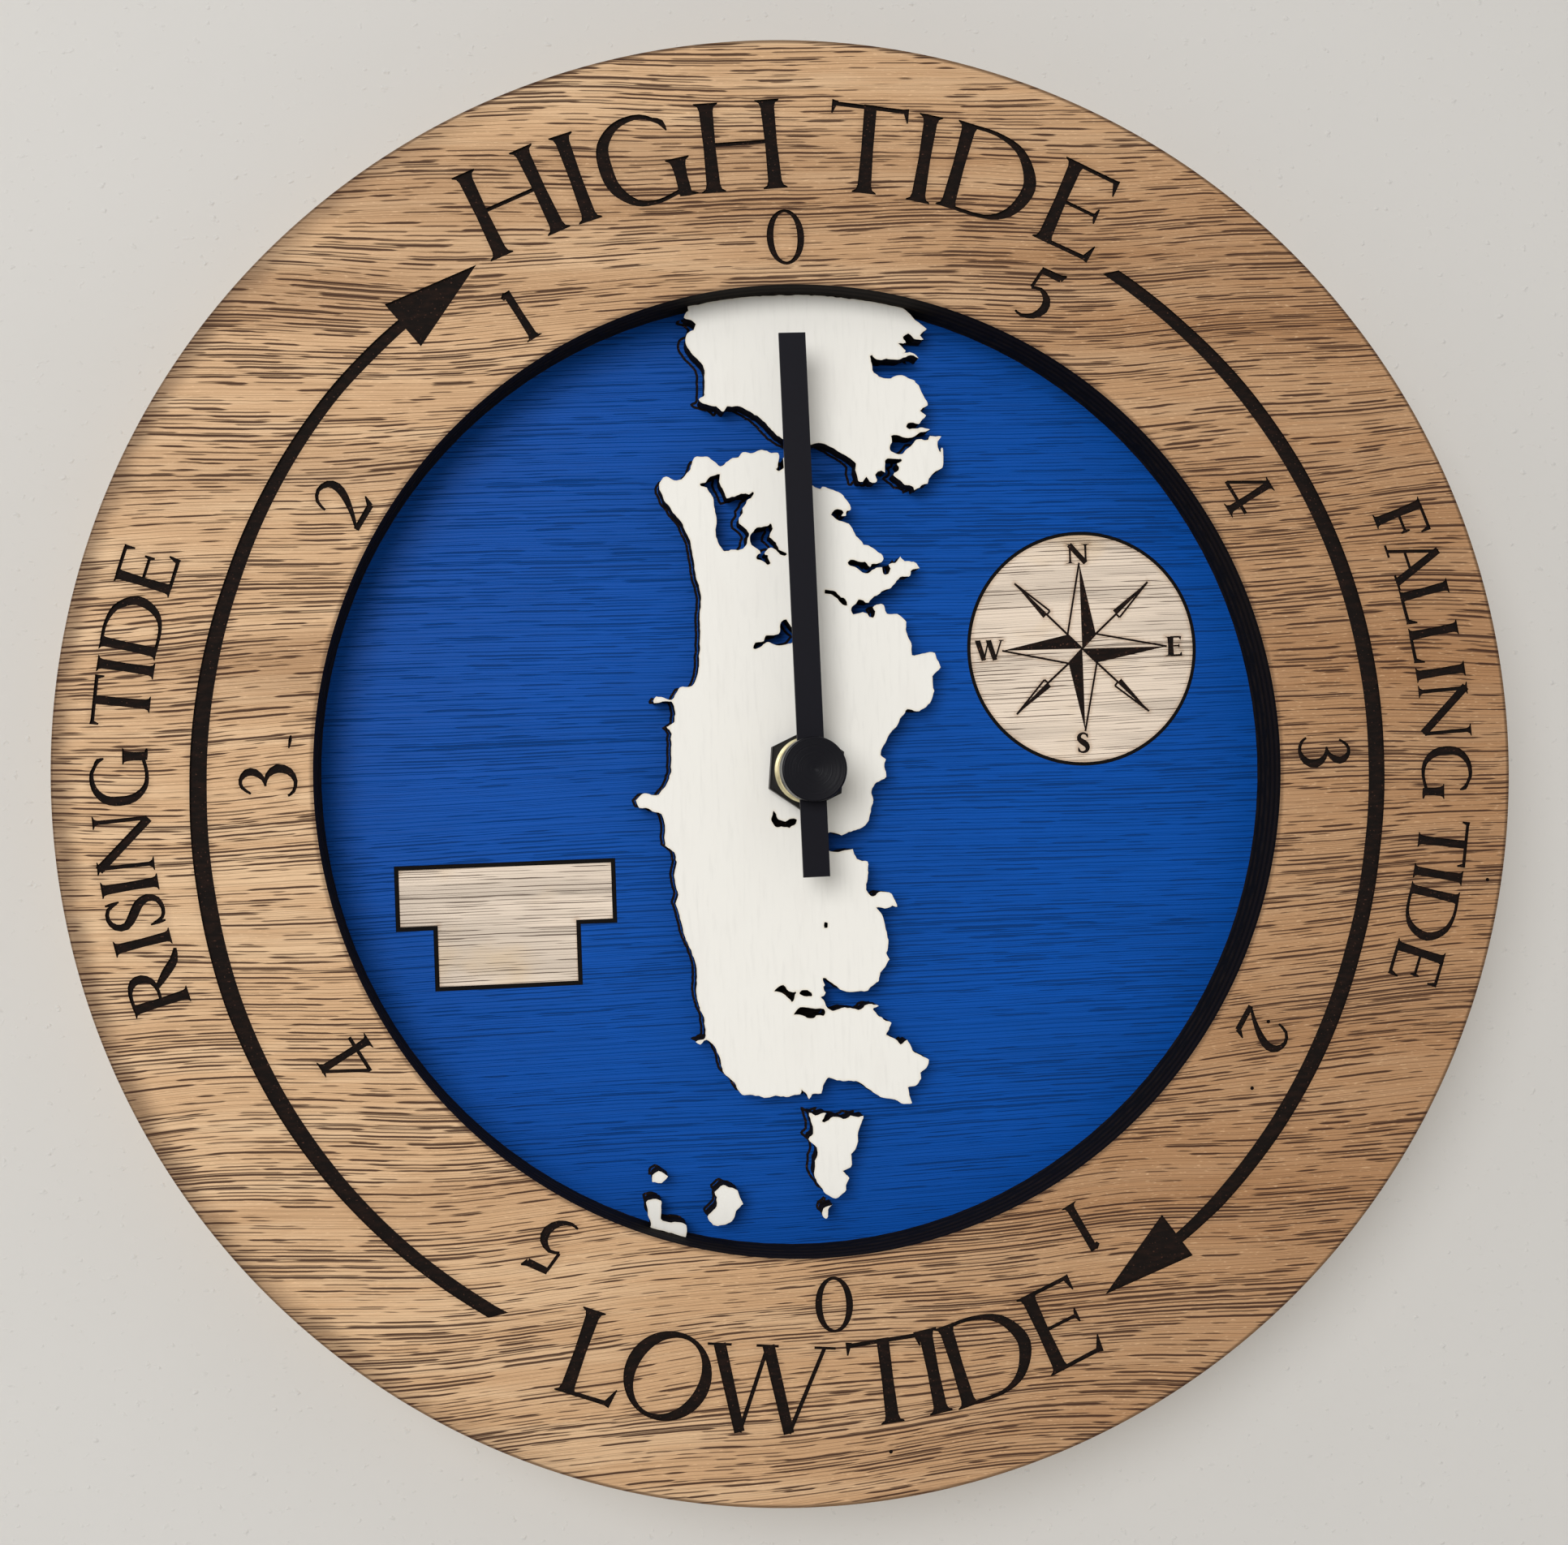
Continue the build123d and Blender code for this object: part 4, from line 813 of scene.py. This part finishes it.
def covered(middles, loop):
    """Which of the points, sorted by x, lie inside a loop."""
    low, high = loop.min(0), loop.max(0)
    first, last = np.searchsorted(middles[:, 0], (low[0], high[0]))
    near = first + np.nonzero((middles[first:last, 1] >= low[1]) & (middles[first:last, 1] <= high[1]))[0]
    x, z = middles[near, 0], middles[near, 1]
    odd = np.zeros(len(near), bool)
    for (ax, az), (bx, bz) in zip(loop, np.roll(loop, -1, 0)):
        if az != bz:
            odd ^= ((az > z) != (bz > z)) & (x < (bx - ax) * (z - az) / (bz - az) + ax)
    return near[odd]


def tiles_of(points, faces, marks):
    """A board in triangles, each with the deepest level that covers it, and their corners."""
    edges = [edge for face in faces for edge in around(face)]
    spots, _, parts = delaunay_2d_cdt([Vector(p) for p in points], edges, [], 0, 1e-5, False)[:3]
    parts = np.array(parts)
    middles = np.array([tuple(spot) for spot in spots])[parts].mean(1)
    order = np.argsort(middles[:, 0])
    parts, middles = parts[order].tolist(), middles[order]
    crossings, deepest = np.zeros((2, len(parts)), int)
    for mark, face in zip(marks, faces):
        hit = covered(middles, np.array([points[k] for k in face]))
        if mark == OUTLINE:
            crossings[hit] += 1
        else:
            deepest[hit] = np.maximum(deepest[hit], mark)
    return spots, [(part, level) for part, level, odd in zip(parts, deepest, crossings % 2) if odd]


def put(name, data):
    """A new object in the scene."""
    piece = bpy.data.objects.new(name, data)
    bpy.context.scene.collection.objects.link(piece)
    return piece


def skin(name, corners, shapes, finishes, places=None, crease=None):
    """A new mesh object with its finishes, smooth where it bends less than a crease in degrees."""
    mesh = bpy.data.meshes.new(name)
    mesh.from_pydata(corners, [], shapes)
    for each in finishes:
        mesh.materials.append(finish(each))
    if places:
        mesh.polygons.foreach_set("material_index", places)
    if crease:
        mesh.shade_smooth()
        mesh.set_sharp_from_angle(angle=math.radians(crease))
        mesh.validate()
    return put(name, mesh)


def terraced(name, node, face_finish, outlines, cuts=(), depths=(), tint=None, reach=1.6):
    """A board that stands for a CAD node, with its front cut to several levels.

    Outlines are closed loops in mm, holes among them. Each cut is (level, loop). Each level from 1
    up has its (depth, place in the finishes). A tint marks what is within reach of an edge."""
    front, back = heights(node)
    levels = [(0, FRONT), *depths]
    points, faces, marks = [], [], []
    for mark, loop in [(OUTLINE, loop) for loop in outlines] + list(cuts):
        if signed_area(loop) < 0:
            loop = loop[::-1]
        faces.append(list(range(len(points), len(points) + len(loop))))
        marks.append(mark)
        points += loop
    if tint:
        near = [loop for mark, loop in cuts] if tint == "near_cut" else outlines
        edges = [p for loop in near for p in loop]
        tree = tree_of(edges)
        points = points + sprinkle(edges, tree, reach * 1.5, reach * 0.7)
    spots, tiles = tiles_of(points, faces, marks)
    beside = {edge: level for tile, level in tiles for edge in around(tile)}
    corners, index, shapes, places = [], {}, [], []

    def corner(spot, height):
        key = (spot, round(height, 4))
        if key not in index:
            index[key] = len(corners)
            corners.append((spots[spot][0] * MM, -height * MM, spots[spot][1] * MM))
        return index[key]

    for tile, level in tiles:
        depth, place = levels[level]
        height = front - depth
        shapes.append([corner(s, height) for s in tile])
        shapes.append([corner(s, back) for s in reversed(tile)])
        places += [place, BACK]
        for a, b in around(tile):
            other = beside.get((b, a))
            low, place = (back, WALL) if other is None else (front - levels[other][0], CUT)
            if low < height - 1e-6:
                shapes.append([corner(a, height), corner(a, low), corner(b, low), corner(b, height)])
                places.append(place)
    board = skin(name, corners, shapes, [face_finish, "charred_cut", "charred_edge", "bare_ply"], places, 30)
    if tint:
        values = [max(0.0, 1 - tree.find((x / MM, z / MM, 0))[2] / reach) for x, y, z in corners]
        board.data.attributes.new(tint, "FLOAT", "POINT").data.foreach_set("value", values)
    settle(board, "case", node)


def settle(piece, body, node):
    """Let a piece stand for its CAD node and move with its body."""
    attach(piece, body)
    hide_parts(node)


def heights(node):
    """Front and back of a CAD node, in mm off the wall."""
    low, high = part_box(node)
    return -low.y / MM, -high.y / MM


def front_loops(node):
    """The outlines of a CAD node's front face, as closed loops in mm."""
    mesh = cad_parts[node].data
    front = min(v.co.y for v in mesh.vertices)
    edges = {}
    for face in mesh.polygons:
        corners = [mesh.vertices[k].co for k in face.vertices]
        if all(abs(c.y - front) < 1e-5 for c in corners):
            edges.update(dict.fromkeys(around([(round(c.x / MM, 3), round(c.z / MM, 3)) for c in corners])))
    onward = {a: b for a, b in edges if (b, a) not in edges}
    loops = []
    while onward:
        start, here = next(iter(onward.items()))
        del onward[start]
        loop = [start]
        while here != start:
            loop.append(here)
            here = onward.pop(here)
        loops.append(loop)
    return loops


def is_hub_hole(loop):
    """Whether a loop lies wholly by the dial's middle."""
    return max(math.hypot(*p) for p in loop) < HUB_HOLE_RADIUS


def coast(loop, limit):
    """A coast with its straight runs eased and a little roughness, kept inside the opening."""
    if is_hub_hole(loop):
        return loop
    fine = []
    for k in range(len(loop)):
        a, b, c, d = (loop[(k + j) % len(loop)] for j in (-1, 0, 1, 2))
        parts = max(2, math.ceil(math.dist(b, c) / COAST_STEP))
        for j in range(parts):
            t = j / parts
            smooth, plain = between(a, b, c, d, t), [p + (q - p) * t for p, q in zip(b, c)]
            spot = [0.6 * s + 0.4 * p for s, p in zip(smooth, plain)]
            wobble = noise.noise(Vector((spot[0] * 0.8, spot[1] * 0.8, 3.7)))
            ripple = noise.noise(Vector((spot[0] * 2.1, spot[1] * 2.1, 9.2)))
            way = Vector((c[1] - b[1], b[0] - c[0])).normalized() * (wobble * 0.22 + ripple * 0.12)
            spot = [spot[0] + way.x, spot[1] + way.y]
            far = math.hypot(*spot)
            if far > limit:
                spot = [s * limit / far for s in spot]
            fine.append(tuple(spot))
    return fine


# Operators

class TIDECLOCK_OT_ring(Operator):
    """Carve the scale, the words and the arrows into the oak ring"""
    bl_idname = "tideclock.ring"
    bl_label = "Carve the front ring"

    def execute(self, context):
        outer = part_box("front_ring")[1].x / MM
        inner = min(math.hypot(v.co.x, v.co.z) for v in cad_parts["front_ring"].data.vertices) / MM
        terraced("oak_ring", "front_ring", "veneered_oak", [circle(outer), circle(inner)],
                 [(1, t) for t in dial_cuts()], [(sizes().carving_depth / MM, CUT)], "near_cut")
        coat({"spacer_ply": ["spacer_ring"]})
        return {"FINISHED"}


class TIDECLOCK_OT_sea(Operator):
    """Cut and paint the blue disc, with its two pockets and the guide line for the land"""
    bl_idname = "tideclock.sea"
    bl_label = "Paint the sea"

    def execute(self, context):
        pocket = heights("dial_disc")[0] - heights("compass_disc")[1]
        cuts = []
        guides = {"land_north": (-1.35, 0.1), "land_main": (-0.68, 0.1),
                  "land_south": (-1.0, 0.4), "small_islands": (-0.5, 0.4)}
        for node, (aside, above) in guides.items():
            for loop in front_loops(node):
                if node == "land_main" and abs(signed_area(loop)) < SMALL_LAKE_AREA:
                    cuts.append((1, inset(loop, -LAKE_GAP)))
                elif not is_hub_hole(loop):
                    shifted = [(x + aside, z + above) for x, z in coast(loop, GUIDE_LIMIT)]
                    cuts += [(1, t) for t in border(shifted, sizes().guide_width / MM)]
        for node in ("compass_disc", "name_plaque"):
            cuts += [(2, inset(loop, -POCKET_GAP)) for loop in front_loops(node)]
        hole = min(front_loops("dial_disc"), key=lambda loop: abs(signed_area(loop)))
        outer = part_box("dial_disc")[1].x / MM
        terraced("sea_disc", "dial_disc", "sea_paint", [circle(outer), hole], cuts,
                 [(GUIDE_DEPTH, CUT), (pocket, BACK)])
        return {"FINISHED"}


class TIDECLOCK_OT_land(Operator):
    """Cut the raised land and its islands, with rough coasts"""
    bl_idname = "tideclock.land"
    bl_label = "Cut the land"

    def execute(self, context):
        for node, name in (("land_north", "north_land"), ("land_main", "main_land"),
                           ("land_south", "south_land"), ("small_islands", "islands")):
            loops = [coast(loop, COAST_LIMIT) for loop in front_loops(node)]
            terraced(name, node, "land_paint", loops, tint="near_edge", reach=1.1)
        return {"FINISHED"}


class TIDECLOCK_OT_inlays(Operator):
    """Burn the rose on the compass disc and the border on the blank plaque"""
    bl_idname = "tideclock.inlays"
    bl_label = "Burn the inlays"

    def execute(self, context):
        width, depth = sizes().border_width / MM, sizes().inlay_depth / MM
        low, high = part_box("compass_disc")
        centre = ((low.x + high.x) / 2 / MM, (low.z + high.z) / 2 / MM)
        rim = circle((high.x - low.x) / 2 / MM, centre, 180)
        cuts = [(2, t) for t in border(rim, width * 0.8)] + [(1, t) for t in rose(centre)]
        terraced("compass_rose", "compass_disc", "pale_veneer", [rim], cuts,
                 [(depth, CUT), (depth, WALL)], "near_cut", 1.0)
        outline = front_loops("name_plaque")[0]
        cuts = [(1, t) for t in border(outline, width)]
        terraced("blank_plaque", "name_plaque", "pale_veneer", [outline], cuts,
                 [(depth, WALL)], "near_cut", 1.4)
        return {"FINISHED"}


def rose(centre):
    """The compass rose's burnt parts as triangles in mm: four long points, four short ones and letters."""
    waist, line, letter_height = 2.9, 0.4, 3.9
    neck_reach, shoulder_reach, shoulder_width = 9.9, 9.95, 0.98
    mid = Vector(centre)
    cut = []

    def stroke(a, b, width=line):
        return ribbon([(*a, width), (*b, width)])

    for turn, tip in ((0, 17.3), (90, 17.5), (180, 16.6), (270, 16.4)):
        out = Vector(polar(turn, 1))
        right = Vector((out.y, -out.x))
        point, near, far = mid + out * tip, mid + (out + right) * waist, mid + (out - right) * waist
        cut.append([tuple(mid), tuple(near), tuple(point)])
        cut += stroke(point, far) + stroke(far, mid)
    for tip in ((14.0, 13.1), (-13.4, 13.4), (13.3, -13.0), (-13.9, -12.8)):
        out = Vector(tip).normalized()
        left = Vector((-out.y, out.x))
        point, neck, shoulder = mid + Vector(tip), mid + out * neck_reach, mid + out * shoulder_reach
        start = mid + Vector((math.copysign(waist, tip[0]), math.copysign(waist, tip[1])))
        full, empty = shoulder + left * shoulder_width, shoulder - left * shoulder_width
        cut += stroke(start, neck, line * 1.1)
        cut.append([tuple(neck), tuple(point), tuple(full)])
        cut += stroke(point, empty) + stroke(empty, neck) + stroke(point, neck)
    for letter, x, z in (("N", -.2, 19.1), ("S", -.5, -18.9), ("W", -19.0, .2), ("E", 19.4, 0)):
        foot = (centre[0] + x, centre[1] + z - letter_height / 2)
        cut += lay(letter, letter_height, foot, 0, weight=1.9)
    return cut


class TIDECLOCK_OT_hub(Operator):
    """Spin the cap and finish the hand, nut and collar"""
    bl_idname = "tideclock.hub"
    bl_label = "Finish the hub"

    def execute(self, context):
        settle(cap(), "hand", "hand_cap")
        coat({"black_lacquer": ["tide_hand"], "blackened_steel": ["centre_nut"],
              "turned_brass": ["brass_collar", "hand_bush", "threaded_bush"],
              "rubber_ring": ["rubber_washer"]})
        return {"FINISHED"}


def cap():
    """The hand's cap: a rounded rim round a shallow dish with turned rings."""
    low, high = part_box("hand_cap")
    top, foot = heights("hand_cap")
    radius = (high.x - low.x) / 2 / MM
    dish, groove, rounding, rings, rim_parts = 0.25, 0.012, 0.35, 46, 6
    flat = radius - rounding
    rows = [(radius, foot), (radius, top - rounding)]
    for k in range(1, rim_parts + 1):
        turn = math.pi / 2 * k / rim_parts
        rows.append((radius - rounding * (1 - math.cos(turn)), top - rounding * (1 - math.sin(turn))))
    for k in range(1, rings * 2):
        ring = flat - flat * k / (rings * 2)
        rows.append((ring, top - dish * (1 - ring / flat) - groove * (k % 2)))
    return lathe("spun_cap", rows, 96, "spun_black")


def lathe(name, rows, parts, look_name):
    """A turned piece from (radius, height) rows in mm, closed at its middle and foot."""
    turns = [math.tau * k / parts for k in range(parts)]
    corners = [(r * math.cos(turn) * MM, -h * MM, r * math.sin(turn) * MM) for r, h in rows for turn in turns]
    last = (len(rows) - 1) * parts
    shapes = []
    for here in range(0, last, parts):
        beyond = here + parts
        for k in range(parts):
            j = (k + 1) % parts
            shapes.append([here + k, beyond + k, beyond + j, here + j])
    shapes.append([last + k for k in range(parts)])
    shapes.append(list(reversed(range(parts))))
    return skin(name, corners, shapes, [look_name], crease=40)


class TIDECLOCK_OT_movement(Operator):
    """Finish the quartz movement, its train and the hanger"""
    bl_idname = "tideclock.movement"
    bl_label = "Finish the movement"

    def execute(self, context):
        coat({"moulded_black": ["movement_housing", "rear_cover", "set_knob", "clock_chip"],
              "acetal": ["tide_wheel", "minute_wheel", "centre_wheel", "third_wheel", "second_wheel",
                         "coil_bobbin", "train_plate"],
              "plated_steel": ["set_arbor", "stator_plate", "coil_core", "train_screws",
                               "positive_contact", "negative_contact", "crystal_can", "hanger_plate"],
              "sintered_magnet": ["rotor"], "enamel_wire": ["coil_winding"],
              "green_board": ["circuit_board"], "cell_sleeve": ["battery_cell"]})
        return {"FINISHED"}


class TIDECLOCK_OT_stage(Operator):
    """Set the wall, the floor, the lamps and the camera"""
    bl_idname = "tideclock.stage"
    bl_label = "Set the stage"

    def execute(self, context):
        context.scene.view_settings.view_transform = "Standard"
        ground = -0.6
        wall = sheet("plaster_wall", "plaster", [(x, 0, z) for x, z in rectangle(1.6, ground, 1.4)])
        wall.visible_shadow = False
        floor = sheet("pale_floor", "floor_paint", [(x, y, ground) for x, y in rectangle(6, -6, 6)])
        lamp("key_lamp", (-0.66, -1.75, 0.47), width=1.1, watts=sizes().key_watts, spread=110)
        lamp("back_lamp", (0.8, 1.6, 0.35), width=0.9, watts=2.1, spread=40)
        daylight(0.50)
        context.scene.camera = photo_camera()
        return {"FINISHED"}


def rectangle(half_width, low, high):
    return [(-half_width, low), (half_width, low), (half_width, high), (-half_width, high)]


def sheet(name, look_name, corners):
    return skin(name, corners, [list(range(len(corners)))], [look_name])


def lamp(name, place, width, watts, spread):
    """A round lamp that faces the clock, with its spread in degrees."""
    light = bpy.data.lights.new(name, "AREA")
    light.shape = "DISK"
    light.size, light.energy, light.spread = width, watts, math.radians(spread)
    piece = put(name, light)
    piece.location = place
    piece.rotation_mode = "QUATERNION"
    piece.rotation_quaternion = (-Vector(place)).to_track_quat("-Z", "Y")


def photo_camera():
    """The camera where the photo was taken from, turned by its yaw, rise and roll in degrees."""
    camera = bpy.data.cameras.new("camera")
    camera.sensor_width, camera.lens, camera.clip_start = 36.0, 45.36, 0.01
    yaw, rise, roll = (math.radians(a) for a in (6.505, 0.705, -2.058))
    ahead = Vector((math.sin(yaw) * math.cos(rise), math.cos(yaw) * math.cos(rise), math.sin(rise)))
    right = Vector((math.cos(yaw), -math.sin(yaw), 0))
    up = right.cross(ahead)
    across = right * math.cos(roll) + up * math.sin(roll)
    upward = up * math.cos(roll) - right * math.sin(roll)
    turned = Matrix((across, upward, -ahead)).transposed().to_4x4()
    turned.translation = Vector((-0.0477, -0.4090, -0.0050))
    eye = put("camera", camera)
    eye.matrix_world = turned
    return eye


def daylight(strength):
    """Even light from all round, and a pale backdrop where the camera or a reflection sees past the wall."""
    world = bpy.data.worlds.new("daylight")
    bpy.context.scene.world = world
    bench = Bench(world)
    camera_ray = bench.add("ShaderNodeLightPath", output="Is Camera Ray")
    glossy_ray = bench.also(camera_ray, "Is Glossy Ray")
    passing_ray = bench.also(camera_ray, "Is Transmission Ray")
    soft = bench.add("ShaderNodeBackground", inputs={"Color": (1, 0.985, 0.96, 1), "Strength": strength})
    backdrop = bench.add("ShaderNodeBackground", inputs={"Color": (0.80, 0.80, 0.79, 1), "Strength": 0.9})
    seen = camera_ray.larger(glossy_ray).larger(passing_ray)
    both = bench.add("ShaderNodeMixShader", inputs={0: seen, 1: soft, 2: backdrop})
    bench.end(both, "ShaderNodeOutputWorld")


STEPS = (TIDECLOCK_OT_ring, TIDECLOCK_OT_sea, TIDECLOCK_OT_land, TIDECLOCK_OT_inlays,
         TIDECLOCK_OT_hub, TIDECLOCK_OT_movement, TIDECLOCK_OT_stage)


class TIDECLOCK_PT_panel(Panel):
    """Lists the steps in order"""
    bl_label = "Tide Clock"
    bl_space_type = "VIEW_3D"
    bl_region_type = "UI"
    bl_category = "Tide Clock"

    def draw(self, context):
        column = self.layout.column()
        for step in STEPS:
            column.operator(step.bl_idname)
        for group in (context.scene.tide_clock_sizes, context.scene.tide_clock_colours):
            for name in group.bl_rna.properties.keys():
                if name not in ("rna_type", "name"):
                    column.prop(group, name)


CLASSES = (TideClockSizes, TideClockColours, *STEPS, TIDECLOCK_PT_panel)


def register():
    for item in CLASSES:
        bpy.utils.register_class(item)
    bpy.types.Scene.tide_clock_sizes = PointerProperty(type=TideClockSizes)
    bpy.types.Scene.tide_clock_colours = PointerProperty(type=TideClockColours)


def unregister():
    del bpy.types.Scene.tide_clock_sizes, bpy.types.Scene.tide_clock_colours
    for item in reversed(CLASSES):
        bpy.utils.unregister_class(item)


def main():
    register()
    bpy.ops.tideclock.ring()
    bpy.ops.tideclock.sea()
    bpy.ops.tideclock.land()
    bpy.ops.tideclock.inlays()
    bpy.ops.tideclock.hub()
    bpy.ops.tideclock.movement()
    bpy.ops.tideclock.stage()


if __name__ == "__main__":
    main()
